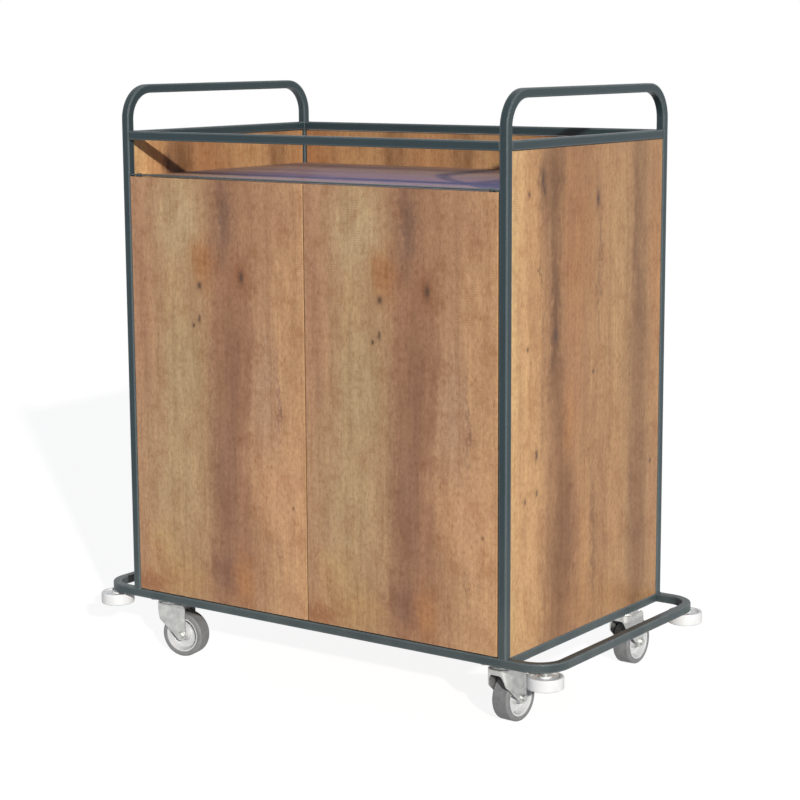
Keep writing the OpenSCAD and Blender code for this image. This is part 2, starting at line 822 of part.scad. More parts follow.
module fork_nose(inset) {
  r = fork_edge - inset;
  nose = crown_r - inset;
  top = crown_top - inset;
  translate([-nose, 0]) square([nose + fork_back, top - r]);
  translate([-nose + r, 0]) square([nose - r + fork_back, top]);
  translate([-nose + r, top - r]) circle(r);
}

module pressed_block(inset) {
  intersection() {
    translate([0, 0, -1]) linear_extrude(caster_h) fork_plan(inset);
    translate([-2 * crown_r, 0, 0]) rotate([90, 0, 90])
      linear_extrude(2 * crown_r + 2 * fork_back) fork_section(inset);
    rotate([90, 0, 0]) linear_extrude(4 * fork_half, center = true) fork_nose(inset);
  }
}

// The bent sheet: a skirt round its nose, two legs, and a crown that is open behind the swivel
module fork_sheet() {
  difference() {
    intersection() {
      difference() {
        pressed_block(0);
        pressed_block(fork_t);
      }
      rotate([90, 0, 0]) linear_extrude(4 * fork_half, center = true) fork_side();
    }
    linear_extrude(caster_h) difference() {
      translate([0, -fork_gap]) square([2 * fork_back, 2 * fork_gap]);
      circle(crown_r);
    }
  }
}

// Hollow of the dome over the crown, with the lower ball race left in it
module dome_hollow() {
  difference() {
    translate([0, 0, crown_low - 1]) rotate_extrude()
      dome_profile(dome_r - fork_t, dome_h + 1, fork_edge - fork_t);
    translate([0, 0, crown_low + dome_h - lower_race_h]) cylinder(r = lower_race_r, h = lower_race_h + 1);
  }
}

// The sheet with its dome and an embossed seat for the axle on each leg
module fork_shell() {
  difference() {
    union() {
      fork_sheet();
      translate([0, 0, crown_top - 1]) rotate_extrude() dome_profile(dome_r, dome_h + 1, fork_edge);
      for (s = [-1, 1]) translate([trail, s * (fork_half - 1), axle_z])
        rotate([s * -90, 0, 0]) cylinder(r1 = 0.75 * leg_tip_r, r2 = 0.62 * leg_tip_r, h = 1 + seat_h);
    }
    dome_hollow();
  }
}

// Pressed fork with the bores for its kingpin and its axle
module fork(sx, sy, turn) {
  color(zinc) place_caster(sx, sy, turn) difference() {
    fork_shell();
    translate([0, 0, crown_low - 1]) cylinder(d = kingpin_d + 2 * run, h = dome_h + fork_t + 2);
    translate([trail, 0, axle_z]) rotate([90, 0, 0])
      cylinder(d = axle_d, h = 4 * fork_half, center = true);
  }
}

// Half of a dome's section, with a round upper edge
module dome_profile(r, h, edge) {
  square([r - edge, h]);
  square([r, h - edge]);
  difference() {
    translate([r - edge, h - edge]) circle(edge);
    translate([0, -h]) square([r, h]);
  }
}

module front_left_fork() { fork(-1, -1, turn_fl); }
module front_right_fork() { fork(1, -1, turn_fr); }
module rear_left_fork() { fork(-1, 1, turn_rl); }
module rear_right_fork() { fork(1, 1, turn_rr); }

// Axle bolt with its head on one leg and its nut on the other
module axle(sx, sy, turn) {
  seat = fork_half + seat_h;
  head_h = 0.65 * axle_d;
  color(zinc) place_caster(sx, sy, turn) translate([trail, 0, axle_z]) rotate([90, 0, 0]) {
    cylinder(d = axle_d, h = 2 * seat + 2 * head_h, center = true);
    for (s = [-1, 1]) translate([0, 0, s * (seat + head_h / 2)])
      cylinder(r = hex_r(axle_af), h = head_h, center = true, $fn = 6);
  }
}

module front_left_axle() { axle(-1, -1, turn_fl); }
module front_right_axle() { axle(1, -1, turn_fr); }
module rear_left_axle() { axle(-1, 1, turn_rl); }
module rear_right_axle() { axle(1, 1, turn_rr); }

// Moulded hub: rim, thin web and boss, with a dished face on each side
module hub(sx, sy, turn) {
  half = wheel_w / 2;
  boss_half = fork_gap - rest - 0.1;
  color(pale_grey) place_caster(sx, sy, turn) translate([trail, 0, axle_z]) rotate([90, 0, 0])
    rotate_extrude() {
      translate([axle_d / 2 + run, -boss_half]) square([boss_r - axle_d / 2 - run, 2 * boss_half]);
      translate([boss_r - 1, -web_t / 2]) square([hub_r - boss_r - rim_t + 2, web_t]);
      translate([hub_r - rim_t, -half + 1]) square([rim_t, 2 * half - 2]);
      polygon([
        [boss_r - 1, -half + 4], [boss_r + 5, -web_t / 2],
        [boss_r + 5, web_t / 2], [boss_r - 1, half - 4]]);
      polygon([
        [hub_r - rim_t + 1, half - 3], [hub_r - rim_t - 5, web_t / 2],
        [hub_r - rim_t - 5, -web_t / 2], [hub_r - rim_t + 1, -half + 3]]);
    }
}

module front_left_hub() { hub(-1, -1, turn_fl); }
module front_right_hub() { hub(1, -1, turn_fr); }
module rear_left_hub() { hub(-1, 1, turn_rl); }
module rear_right_hub() { hub(1, 1, turn_rr); }

// Tyre with rounded shoulders
module tyre(sx, sy, turn) {
  half = wheel_w / 2;
  r = wheel_d / 2;
  shoulder = tyre_shoulder;
  color(tyre_grey) place_caster(sx, sy, turn) translate([trail, 0, axle_z]) rotate([90, 0, 0])
    rotate_extrude() intersection() {
      translate([hub_r, -half]) square([tyre_t, 2 * half]);
      union() {
        translate([hub_r, -half]) square([tyre_t - shoulder, 2 * half]);
        translate([hub_r, -half + shoulder]) square([tyre_t, 2 * (half - shoulder)]);
        for (s = [-1, 1]) translate([r - shoulder, s * (half - shoulder)]) circle(shoulder);
      }
    }
}

module front_left_tyre() { tyre(-1, -1, turn_fl); }
module front_right_tyre() { tyre(1, -1, turn_fr); }
module rear_left_tyre() { tyre(-1, 1, turn_rl); }
module rear_right_tyre() { tyre(1, 1, turn_rr); }

left_side_hoop();
right_side_hoop();
front_top_rail();
back_top_rail();
side_top_rails();
bumper_ring();
base_rails();
caster_mounting_plates();
left_side_panel();
right_side_panel();
back_panel();
panel_lugs();
inner_screws();
floor_board();
lower_shelf();
upper_shelf();
shelf_supports();
tray_board();
tray_angles();
tray_stiffener();
pivot_ears();
pivot_pins();
pivot_washers();
latch_bodies();
door_buffers();
bumper_spindles();
bumper_spacers();
bumper_inserts();
caster_top_plates();
caster_kingpins();
caster_bolts();
left_door();
right_door();
left_door_bushes();
right_door_bushes();
left_striker_plate();
right_striker_plate();
left_latch_plunger();
right_latch_plunger();
front_left_roller();
front_right_roller();
rear_left_roller();
rear_right_roller();
front_left_fork();
front_right_fork();
rear_left_fork();
rear_right_fork();
front_left_axle();
front_right_axle();
rear_left_axle();
rear_right_axle();
front_left_hub();
front_right_hub();
rear_left_hub();
rear_right_hub();
front_left_tyre();
front_right_tyre();
rear_left_tyre();
rear_right_tyre();
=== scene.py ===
"""Minibar cart: finishes, welds, fasteners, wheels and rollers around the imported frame.

The frame gives every place and size. This file adds the finish of each surface, the wide bends of the
push handles, the weld beads, the screws and bolts with their recesses and threads, and the turned
plastic and rubber parts.
"""

import json
import math

import bmesh
import bpy
from mathutils import Matrix, Vector


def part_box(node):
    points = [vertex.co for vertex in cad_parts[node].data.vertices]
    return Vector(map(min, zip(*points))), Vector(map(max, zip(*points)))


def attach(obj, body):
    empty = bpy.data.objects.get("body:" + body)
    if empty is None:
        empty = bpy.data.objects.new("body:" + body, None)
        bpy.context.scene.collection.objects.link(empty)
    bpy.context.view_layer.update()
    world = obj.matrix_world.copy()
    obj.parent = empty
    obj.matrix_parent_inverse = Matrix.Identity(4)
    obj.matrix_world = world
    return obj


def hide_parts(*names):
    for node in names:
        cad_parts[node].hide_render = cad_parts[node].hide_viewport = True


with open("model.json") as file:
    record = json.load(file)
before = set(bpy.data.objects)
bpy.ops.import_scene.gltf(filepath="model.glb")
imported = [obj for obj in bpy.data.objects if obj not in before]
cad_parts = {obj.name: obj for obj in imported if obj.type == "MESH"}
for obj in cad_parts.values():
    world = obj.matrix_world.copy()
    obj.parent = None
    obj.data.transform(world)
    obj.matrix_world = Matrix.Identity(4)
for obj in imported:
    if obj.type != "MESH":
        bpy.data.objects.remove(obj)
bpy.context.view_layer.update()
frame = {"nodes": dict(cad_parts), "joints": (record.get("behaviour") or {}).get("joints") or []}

bl_info = {
    "name": "Minibar cart",
    "version": (1, 0, 0),
    "blender": (4, 5, 0),
    "location": "View3D > Sidebar > Cart",
    "description": "Finishes and small parts of a hotel minibar cart",
    "category": "Object",
}

MM = 0.001
# Points that are closer than this are one point
MERGE = 0.001 * MM
NODES = frame["nodes"]
JOINTS = {j["name"]: j for j in frame["joints"]}
CORNERS = ("front_left", "front_right", "rear_left", "rear_right")
BASE_BODY = "cart_frame"

TUBE_NODES = (
    "left_side_hoop", "right_side_hoop", "front_top_rail", "back_top_rail", "side_top_rails",
    "bumper_ring", "base_rails", "caster_mounting_plates", "panel_lugs", "tray_angles",
    "tray_stiffener", "pivot_ears", "pivot_pins",
)
ZINC_NODES = (
    "shelf_supports", "bumper_inserts", "bumper_spacers", "bumper_spindles",
    "caster_top_plates", "caster_kingpins", "left_striker_plate", "right_striker_plate",
) + tuple(f"{corner}_{part}" for corner in CORNERS for part in ("fork", "axle"))
NYLON_NODES = ("left_latch_plunger", "right_latch_plunger")
BLACK_NODES = ("latch_bodies", "pivot_washers", "left_door_bushes", "right_door_bushes")


def linear(text):
    """An sRGB hex colour as linear red, green and blue."""
    values = [int(text[i:i + 2], 16) / 255 for i in (1, 3, 5)]
    return [v / 12.92 if v <= 0.04045 else ((v + 0.055) / 1.055) ** 2.4 for v in values]


def colour(text):
    """The same, with alpha, for a shader socket or a ramp."""
    return linear(text) + [1.0]


# Node trees


def feed(tree, node, links):
    """Gives a node's inputs, by name or index, values or links to other nodes' outputs."""
    for key, value in links.items():
        socket = node.inputs[key]
        if isinstance(value, bpy.types.NodeSocket):
            tree.links.new(value, socket)
        else:
            socket.default_value = value


def add(tree, kind, links=None, **settings):
    """Adds a node with its settings, and feeds its inputs."""
    node = tree.nodes.new(kind)
    for name, value in settings.items():
        setattr(node, name, value)
    feed(tree, node, links or {})
    return node


def maths(tree, operation, *values):
    """The result of a maths node on numbers or on other nodes' outputs."""
    return add(tree, "ShaderNodeMath", dict(enumerate(values)), operation=operation).outputs[0]


def total(tree, first, *others):
    """The sum of several outputs."""
    for other in others:
        first = maths(tree, "ADD", first, other)
    return first


def remap(tree, value, start, end, low, high):
    """Maps the range from start to end onto low to high, and stays within it."""
    return add(tree, "ShaderNodeMapRange", {
        "Value": value, "From Min": start, "From Max": end, "To Min": low, "To Max": high,
    }).outputs[0]


def mix(tree, factor, under, over, blend="MIX"):
    """Mixes a second colour into a first, or blends the two in another way."""
    return add(tree, "ShaderNodeMix", {"Factor": factor, "A": under, "B": over},
               data_type="RGBA", blend_type=blend).outputs["Result"]


def noise(tree, vector, scale, detail=2.0, roughness=0.5):
    """A noise texture's value."""
    return add(tree, "ShaderNodeTexNoise", {
        "Vector": vector, "Scale": scale, "Detail": detail, "Roughness": roughness}).outputs["Fac"]


def bumpy(tree, height, strength, depth, **links):
    """A normal that follows a height from 0 to 1, which stands for this depth in mm."""
    return add(tree, "ShaderNodeBump", {
        "Height": height, "Strength": strength, "Distance": depth * MM, **links}).outputs["Normal"]


def ramp(tree, factor, stops, interpolation="LINEAR"):
    """A colour ramp. stops are (position, hex colour) from low to high."""
    node = add(tree, "ShaderNodeValToRGB", {"Fac": factor})
    node.color_ramp.interpolation = interpolation
    elements = node.color_ramp.elements
    while len(elements) < len(stops):
        elements.new(1.0)
    # Positions first, so that the colours go to elements that are already in order
    for element, (position, _) in zip(elements, stops):
        element.position = position
    for element, (_, tone) in zip(elements, stops):
        element.color = colour(tone)
    return node.outputs["Color"]


# Every finish made so far, by name. The frame's own plain materials have the same names.
FINISHES = {}
# Nearly all of a noise texture's output lies between these values
NOISE_LOW = 0.3
NOISE_HIGH = 0.7


def new_material(name):
    """A material with an empty tree, its output and its Principled shader."""
    material = bpy.data.materials.new(name)
    FINISHES[name] = material
    material.use_nodes = True
    tree = material.node_tree
    tree.nodes.clear()
    shader = add(tree, "ShaderNodeBsdfPrincipled")
    output = add(tree, "ShaderNodeOutputMaterial")
    tree.links.new(shader.outputs["BSDF"], output.inputs["Surface"])
    return material, tree, shader


def cells(size):
    """The scale that gives a noise texture cells of this size in mm."""
    return 1 / (size * MM)


def spread(tree, vector, scale, low, high, detail=2.0, roughness=0.5):
    """Noise on a vector, stretched from its usual range to low and high."""
    found = noise(tree, vector, scale, detail, roughness)
    return remap(tree, found, NOISE_LOW, NOISE_HIGH, low, high)


# Finishes

# Painted bounce light from the floor: a paler grey, strongest on the bumper ring and thinning out above
# it
BOUNCE_LIGHT_FROM = 160 * MM
BOUNCE_LIGHT_TO = 510 * MM
BOUNCE_LIGHT_SHARE = 0.16
# How much of the painted highlight's pale tone a powder coat gets on a corner
CORNER_HIGHLIGHT_SHARE = 0.6


def powder_coated_steel(paint):
    """Powder coat on steel tube: satin, with fine orange peel, a painted highlight on the corners, and
    painted bounce light, a paler grey close to the floor.
    """
    material, tree, shader = new_material("powder_coated_steel")
    place = add(tree, "ShaderNodeTexCoord").outputs["Object"]
    darker, lighter = ([part * factor for part in paint] + [1.0] for factor in (0.93, 1.08))
    body = mix(tree, spread(tree, place, cells(111), 0.0, 1.0, 3.0), darker, lighter)
    # A tube's corners are shaded rounder than its flats, and they get a painted highlight in a paler
    # tone
    rounded = add(tree, "ShaderNodeBevel", {"Radius": 4.5 * MM}, samples=4).outputs["Normal"]
    # Orange peel of a powder coat has cells of about 0.8 mm
    peel = noise(tree, place, cells(0.8), 1.0)
    feed(tree, shader, {
        "Base Color": painted_corner_highlight(tree, rounded, painted_floor_bounce(tree, place, body)),
        "Roughness": spread(tree, place, cells(1.11), 0.38, 0.46, 1.0),
        "Specular IOR Level": 0.3,
        "Normal": bumpy(tree, peel, 0.12, 0.05, Normal=rounded)})
    return material


def painted_floor_bounce(tree, place, body):
    """Lays a patchy paler grey over a colour by its height above the floor: painted bounce light from
    the floor.
    """
    height = add(tree, "ShaderNodeSeparateXYZ", {0: place}).outputs["Z"]
    # Painted bounce light: how much of the paler grey, by height above the floor
    low = remap(tree, height, BOUNCE_LIGHT_FROM, BOUNCE_LIGHT_TO, BOUNCE_LIGHT_SHARE, 0.0)
    patchy = spread(tree, place, cells(71), 0.5, 1.5, 4.0)
    return mix(tree, maths(tree, "MULTIPLY", low, patchy), body, colour("#777b78"))


def painted_corner_highlight(tree, rounded, body):
    """Paints a highlight: a paler tone where the rounded normal leaves the surface's own, so at corners.
    """
    flat = add(tree, "ShaderNodeNewGeometry").outputs["True Normal"]
    alike = add(tree, "ShaderNodeVectorMath", {0: rounded, 1: flat}, operation="DOT_PRODUCT")
    # Painted highlight: the more the two normals differ, the more of the paler tone
    corner = remap(tree, alike.outputs["Value"], 0.995, 0.9, 0.0, CORNER_HIGHLIGHT_SHARE)
    return mix(tree, corner, body, colour("#767f82"))


def zinc_plated_steel():
    """Bright zinc plate on pressed steel: satin grey metal, cloudy from the plating bath."""
    material, tree, shader = new_material("zinc_plated_steel")
    place = add(tree, "ShaderNodeTexCoord").outputs["Object"]
    cloud = spread(tree, place, cells(16.7), 0.0, 1.0, 3.0)
    feed(tree, shader, {
        "Base Color": ramp(tree, cloud, [(0.0, "#aaabaa"), (0.5, "#babbb9"), (1.0, "#c8c9c7")]),
        # Fine drawing marks of the press tool, about 0.5 mm apart
        "Roughness": spread(tree, place, cells(0.5), 0.34, 0.5),
        "Metallic": 0.85})
    return material


def moulded_plastic(name, tone, dark_tone, rough):
    """Injection-moulded plastic with the fine spark-eroded grain of its mould, about 0.6 mm."""
    material, tree, shader = new_material(name)
    place = add(tree, "ShaderNodeTexCoord").outputs["Object"]
    cloud = spread(tree, place, cells(22.2), 0.0, 1.0, 3.0)
    pits = noise(tree, place, cells(0.6))
    feed(tree, shader, {
        "Base Color": ramp(tree, cloud, [(0.0, dark_tone), (1.0, tone)]),
        "Roughness": remap(tree, pits, 0.0, 1.0, rough - 0.06, rough + 0.06),
        "Normal": bumpy(tree, pits, 0.1, 0.05)})
    return material


def grey_rubber():
    """Non-marking grey rubber of a wheel tyre: matt, faintly dusty where it rolls."""
    material, tree, shader = new_material("grey_rubber")
    place = add(tree, "ShaderNodeTexCoord").outputs["Object"]
    dust = spread(tree, place, cells(14.3), 0.0, 1.0, 4.0)
    feed(tree, shader, {
        "Base Color": ramp(tree, dust, [(0.0, "#66686a"), (1.0, "#76787a")]),
        "Roughness": 0.62,
        "Normal": bumpy(tree, noise(tree, place, cells(0.4)), 0.2, 0.05)})
    return material


# Oak laminate. A print is a row of tones across the board, then soft-edged patches of tone that
# lie over them, then knots. Positions are in mm: across the grain, then along it.

DOOR_PRINT = {
    # Place across, tone
    "tones": [
        (0, "#ae8b6e"), (60, "#ae8b6e"), (120, "#b0926f"), (200, "#ab8b6c"), (260, "#9d785e"),
        (330, "#a07c60"), (380, "#b08d6e"), (440, "#bb9774"), (506, "#bf9a75"),
    ],
    # Centre across, centre along, half width, half length, tone, strength
    "patches": [
        (30, 720, 45, 280, "#a57f65", 0.7), (145, 890, 78, 110, "#b5a07f", 0.95),
        (150, 560, 80, 150, "#ae9a78", 0.85), (120, 290, 95, 200, "#ae9776", 0.85),
        (410, 910, 110, 100, "#a47f64", 0.75), (277, 900, 20, 110, "#7b6052", 0.9),
        (220, 795, 36, 50, "#a4703f", 0.6), (322, 770, 30, 38, "#8c5a3e", 0.6),
        (300, 590, 62, 160, "#8a6752", 0.95), (286, 300, 58, 200, "#8c6a57", 0.95),
        (262, 75, 42, 50, "#7f5e50", 0.8), (398, 510, 34, 160, "#b3947b", 0.8),
        (465, 640, 45, 200, "#b48f6d", 0.6), (430, 290, 90, 95, "#c29b78", 0.85),
        (128, 50, 110, 42, "#ad8a5a", 0.45), (320, 70, 26, 60, "#b27f52", 0.55),
        (425, 510, 5, 125, "#7d6058", 0.55), (429, 145, 3, 36, "#7d6058", 0.5),
        (30, 20, 60, 26, "#8f5d38", 0.6), (70, 130, 40, 40, "#bd9f6e", 0.5),
    ],
    # Centre across, centre along, half width, half length
    "knots": [(205, 744, 6, 7), (203, 668, 3, 9), (186, 652, 3, 4), (329, 770, 6, 13), (470, 255, 2, 3)],
}
# The same for the side and back panels, the shelves and the tray
SIDE_PRINT = {
    "tones": [
        (0, "#dab988"), (40, "#d1ab7d"), (90, "#c49c71"), (140, "#a78260"), (190, "#9f7a59"),
        (250, "#ac8360"), (330, "#ad8863"), (420, "#b58f68"), (480, "#ac8964"), (540, "#9d7c5b"),
        (638, "#b48f68"),
    ],
    "patches": [
        (60, 290, 72, 300, "#d1aa7c", 0.8), (120, 1000, 22, 60, "#7d5c42", 0.85),
        (170, 985, 36, 110, "#78583c", 0.9), (178, 700, 19, 200, "#715036", 0.95),
        (206, 260, 50, 300, "#916b4a", 0.9), (212, 210, 32, 165, "#805d40", 0.8),
        (268, 880, 55, 190, "#aa7e56", 0.85), (432, 780, 52, 290, "#b7966d", 0.9),
        (532, 760, 24, 300, "#8a6a4d", 0.9), (542, 250, 28, 240, "#8d6a4b", 0.85),
        (612, 760, 28, 290, "#b2855b", 0.7), (352, 790, 3.5, 190, "#7d6349", 0.6),
        (304, 180, 28, 200, "#bd9468", 0.7), (340, 180, 7, 170, "#8b694b", 0.7),
        (109, 808, 3, 58, "#6e5239", 0.7), (235, 480, 24, 70, "#bd8c5c", 0.6),
        (440, 250, 40, 220, "#b78f66", 0.6), (390, 300, 8, 200, "#a07a58", 0.5),
    ],
    "knots": [
        (122, 1006, 6, 20), (128, 980, 4, 9), (67, 977, 3.5, 4.5), (350, 951, 6, 15), (175, 671, 8, 16),
        (63, 652, 3, 4), (336, 572, 2.5, 4), (101, 422, 4.5, 9), (56, 327, 3, 4), (102, 339, 3, 6),
        (600, 328, 3, 4),
    ],
}
# The tints that are laid over the tones darken them by about this factor
TINT_LOSS = 1.38
# A knot's brown halo is this much larger than its eye
HALO = 2.0
# Distance between the waves of the ripple figure, and between a wave texture's bands at scale 1
RIPPLE_PITCH = 5.07 * MM
BAND_PITCH = math.pi / 10
PATCH_PLACE = ("Across", "Along")
PATCH_SIZES = ("Centre across", "Centre along", "Half width", "Half length")
# The higher, the more suddenly a patch ends at its edge
PATCH_FADE = 2.4


def patch_group():
    """How far a point lies inside one soft-edged patch, from 0 to 1. Everything in metres."""
    tree = bpy.data.node_groups.new("oak_patch", "ShaderNodeTree")
    for name in PATCH_PLACE + PATCH_SIZES:
        tree.interface.new_socket(name, in_out="INPUT", socket_type="NodeSocketFloat")
    tree.interface.new_socket("Inside", in_out="OUTPUT", socket_type="NodeSocketFloat")
    given = add(tree, "NodeGroupInput").outputs
    powers = []
    for place, centre, half in zip(PATCH_PLACE, PATCH_SIZES[:2], PATCH_SIZES[2:]):
        off = maths(tree, "SUBTRACT", given[place], given[centre])
        off = maths(tree, "ABSOLUTE", maths(tree, "DIVIDE", off, given[half]))
        powers.append(maths(tree, "POWER", off, PATCH_FADE))
    falling = maths(tree, "MULTIPLY", total(tree, *powers), -1.0)
    add(tree, "NodeGroupOutput", {"Inside": maths(tree, "EXPONENT", falling)})
    return tree


class OakPrint:
    """Draws the oak print of one board in a material's tree, layer over layer."""

    def __init__(self, tree, across, along, start, pattern):
        self.tree = tree
        self.pattern = pattern
        self.width = pattern["tones"][-1][0] * MM
        texture = add(tree, "ShaderNodeTexCoord").outputs
        self.normal = texture["Normal"]
        split = add(tree, "ShaderNodeSeparateXYZ", {0: texture["Object"]}).outputs
        u = maths(tree, "MULTIPLY", split[across[-1]], -1.0 if across.startswith("-") else 1.0)
        # A board that is wider than the print has it again, mirrored
        self.u = maths(tree, "PINGPONG", maths(tree, "SUBTRACT", u, start[0]), self.width)
        self.v = maths(tree, "SUBTRACT", split[along], start[1])
        self.flat = add(tree, "ShaderNodeCombineXYZ", {"X": self.u, "Y": self.v}).outputs[0]
        # The bands wander slowly, and the fibres lean with them
        self.drift = self.wander(150, 260, 13)
        lean = total(tree, self.u, maths(tree, "MULTIPLY", self.drift, 0.4))
        self.grain = add(tree, "ShaderNodeCombineXYZ", {"X": lean, "Y": self.v}).outputs[0]

    def stretched(self, place, pitch, length):
        """Scales a place so that noise has this pitch across the grain and length along it, in mm."""
        return add(self.tree, "ShaderNodeVectorMath", {
            0: place, 1: (cells(pitch), cells(length), 1.0)}, operation="MULTIPLY").outputs[0]

    def blotches(self, pitch, length, low=0.0, high=1.0, detail=2.0, roughness=0.5):
        """Noise that doesn't follow the grain's lean."""
        place = self.stretched(self.flat, pitch, length)
        return spread(self.tree, place, 1.0, low, high, detail, roughness)

    def wander(self, pitch, length, distance, detail=2.0, roughness=0.5):
        """An offset of up to a distance in mm either way."""
        return self.blotches(pitch, length, -distance * MM, distance * MM, detail, roughness)

    def streaks(self, pitch, length, low=0.0, high=1.0, detail=3.0):
        """Long streaks that follow the grain."""
        return spread(self.tree, self.stretched(self.grain, pitch, length), 1.0, low, high, detail)

    def shade(self, mask, tone, strength):
        """Lays a tone over the print, as far as the mask and the strength say."""
        self.body = mix(self.tree, maths(self.tree, "MULTIPLY", mask, strength), self.body, colour(tone))

    def shade_patch(self, place, sizes, tone, strength):
        """Lays a tone over one soft-edged patch, its sizes in mm."""
        group = bpy.data.node_groups.get("oak_patch") or patch_group()
        links = dict(zip(PATCH_PLACE, place))
        links.update((name, size * MM) for name, size in zip(PATCH_SIZES, sizes))
        self.shade(add(self.tree, "ShaderNodeGroup", links, node_tree=group).outputs[0], tone, strength)

    def tint(self, amount, *tones):
        """Multiplies the print by a tint that goes with the amount, low, middle or high."""
        tints = ramp(self.tree, amount, list(zip((0.0, 0.5, 1.0), tones)))
        self.body = mix(self.tree, 1.0, self.body, tints, "MULTIPLY")

    def lay_bands(self):
        """The row of tones across the board, its edges frayed along the fibres."""
        fray = self.wander(14, 90, 8, 4.0, 0.65)
        mottle = self.wander(16, 26, 14, 6.0, 0.7)
        self.wandered = total(self.tree, self.u, self.drift, fray, mottle)
        stops = [(place * MM / self.width, tone) for place, tone in self.pattern["tones"]]
        self.body = ramp(self.tree, maths(self.tree, "DIVIDE", self.wandered, self.width), stops, "EASE")

    def lay_patches(self):
        """The patches of tone, their ends crumbled."""
        place = self.wandered, total(self.tree, self.v, self.wander(30, 34, 20, 4.0, 0.65))
        for *sizes, tone, strength in self.pattern["patches"]:
            self.shade_patch(place, sizes, tone, strength)

    def lighten(self, factor):
        """Multiplies the print's brightness."""
        self.body = add(self.tree, "ShaderNodeVectorMath", {0: self.body, "Scale": factor},
                        operation="SCALE").outputs[0]

    def lay_tints(self):
        """Clouds of browner and more olive tone, then streaks from broad to fine."""
        self.tint(self.blotches(50, 70, detail=6.0, roughness=0.7), "#dbccbf", "#f1eee9", "#f8f6f0")
        self.tint(self.blotches(9, 12, detail=5.0, roughness=0.7), "#ded5cd", "#f4f3f2", "#ffffff")
        self.tint(self.streaks(26, 420), "#e6e2e0", "#f4f3f3", "#ffffff")
        self.tint(self.streaks(7, 120), "#efebe9", "#f8f8f8", "#ffffff")
        self.fibre = self.streaks(1.8, 14, detail=4.0)
        self.tint(self.fibre, "#e4e0dc", "#f7f7f7", "#ffffff")

    def lay_figure(self):
        """Dark pores in thin dashes, patches of ripple square to the grain, and warm-brown flecks."""
        pores = remap(self.tree, self.streaks(1.3, 18, detail=2.0), 0.86, 1.05, 0.0, 1.0)
        self.shade(pores, "#6a4c38", 0.45)
        wave = add(self.tree, "ShaderNodeTexWave", {
            "Vector": self.stretched(self.grain, 60, 1000), "Scale": BAND_PITCH / RIPPLE_PITCH,
            "Distortion": 2.6, "Detail": 2.0, "Detail Scale": 1.5},
            bands_direction="Y", wave_type="BANDS").outputs["Fac"]
        patches = add(self.tree, "ShaderNodeClamp", {"Value": self.streaks(26, 170, -1.2, 1.3)})
        self.shade(maths(self.tree, "MULTIPLY", wave, patches.outputs[0]), "#7f5b44", 0.34)
        flecks = remap(self.tree, self.blotches(5, 8, detail=3.0), 0.93, 1.1, 0.0, 1.0)
        self.shade(flecks, "#80522f", 0.5)

    def lay_knots(self):
        """Knots: a brown halo and a near-black eye, both a little ragged."""
        ragged = (total(self.tree, self.u, self.wander(5, 6, 1.5)),
                  total(self.tree, self.v, self.wander(4, 7, 2)))
        for u0, v0, half_u, half_v in self.pattern["knots"]:
            self.shade_patch(ragged, (u0, v0, half_u * HALO, half_v * HALO), "#6f4d36", 0.5)
            self.shade_patch(ragged, (u0, v0, half_u, half_v), "#443329", 0.85)

    def lay_edge_band(self, thickness):
        """Edge band where the surface doesn't look along the board's thickness."""
        facing = add(self.tree, "ShaderNodeSeparateXYZ", {0: self.normal}).outputs[thickness]
        band = maths(self.tree, "LESS_THAN", maths(self.tree, "ABSOLUTE", facing), 0.5)
        self.shade(band, "#a2805c", 0.75)


def oak_laminate(name, across, along, start, pattern, gloss=0.42, level=1.0):
    """Melamine-faced board with a rustic oak print: satin, with soft bands, fine fibre and pores.

    across and along are axis letters, start the coordinates where the print begins, and level its
    lightness. The third axis is the board's thickness: faces that don't look along it are edges.
    """
    material, tree, shader = new_material(name)
    oak = OakPrint(tree, across, along, start, pattern)
    oak.lay_bands()
    oak.lay_patches()
    oak.lighten(TINT_LOSS * level)
    oak.lay_tints()
    oak.lay_figure()
    oak.lay_knots()
    oak.lay_edge_band(({"X", "Y", "Z"} - {across[-1], along}).pop())
    feed(tree, shader, {
        "Base Color": oak.body,
        "Roughness": remap(tree, oak.fibre, 0.0, 1.0, gloss + 0.05, gloss - 0.03),
        "Specular IOR Level": 0.28,
        "Normal": bumpy(tree, oak.fibre, 0.25, 0.06)})
    return material


# The most of the tray's look that is a painted reflection of a blue sky
SKY_REFLECTION_SHARE = 0.6


def painted_sky_reflection(material):
    """Lacquer: matt from above, but seen almost edge-on it reflects, tinted blue: a painted reflection
    of a blue sky.
    """
    tree = material.node_tree
    shader = next(node for node in tree.nodes if node.type == "BSDF_PRINCIPLED")
    shader.inputs["Specular IOR Level"].default_value = 0.12
    # The surroundings this reflects are white; the blue colour is the painted sky reflection
    sky = add(tree, "ShaderNodeBsdfGlossy", {"Color": colour("#4a7ccc"), "Roughness": 0.3})
    edge_on = add(tree, "ShaderNodeLayerWeight", {"Blend": 0.5}).outputs["Facing"]
    # Mirroring grows with about the fifth power of how edge-on the view is
    share = maths(tree, "MULTIPLY", maths(tree, "POWER", edge_on, 5.0), SKY_REFLECTION_SHARE)
    mixed = add(tree, "ShaderNodeMixShader", {0: share, 1: shader.outputs[0], 2: sky.outputs[0]})
    output = next(node for node in tree.nodes if node.type == "OUTPUT_MATERIAL")
    tree.links.new(mixed.outputs[0], output.inputs["Surface"])


# Meshes


def mesh_object(name, mesh, material, body, replaced=()):
    """Puts a mesh, already in place, in the scene and has it ride on its body."""
    piece = bpy.data.objects.new(name, mesh)
    bpy.context.scene.collection.objects.link(piece)
    mesh.materials.clear()
    mesh.materials.append(material)
    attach(piece, body)
    if replaced:
        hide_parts(*replaced)
    return piece


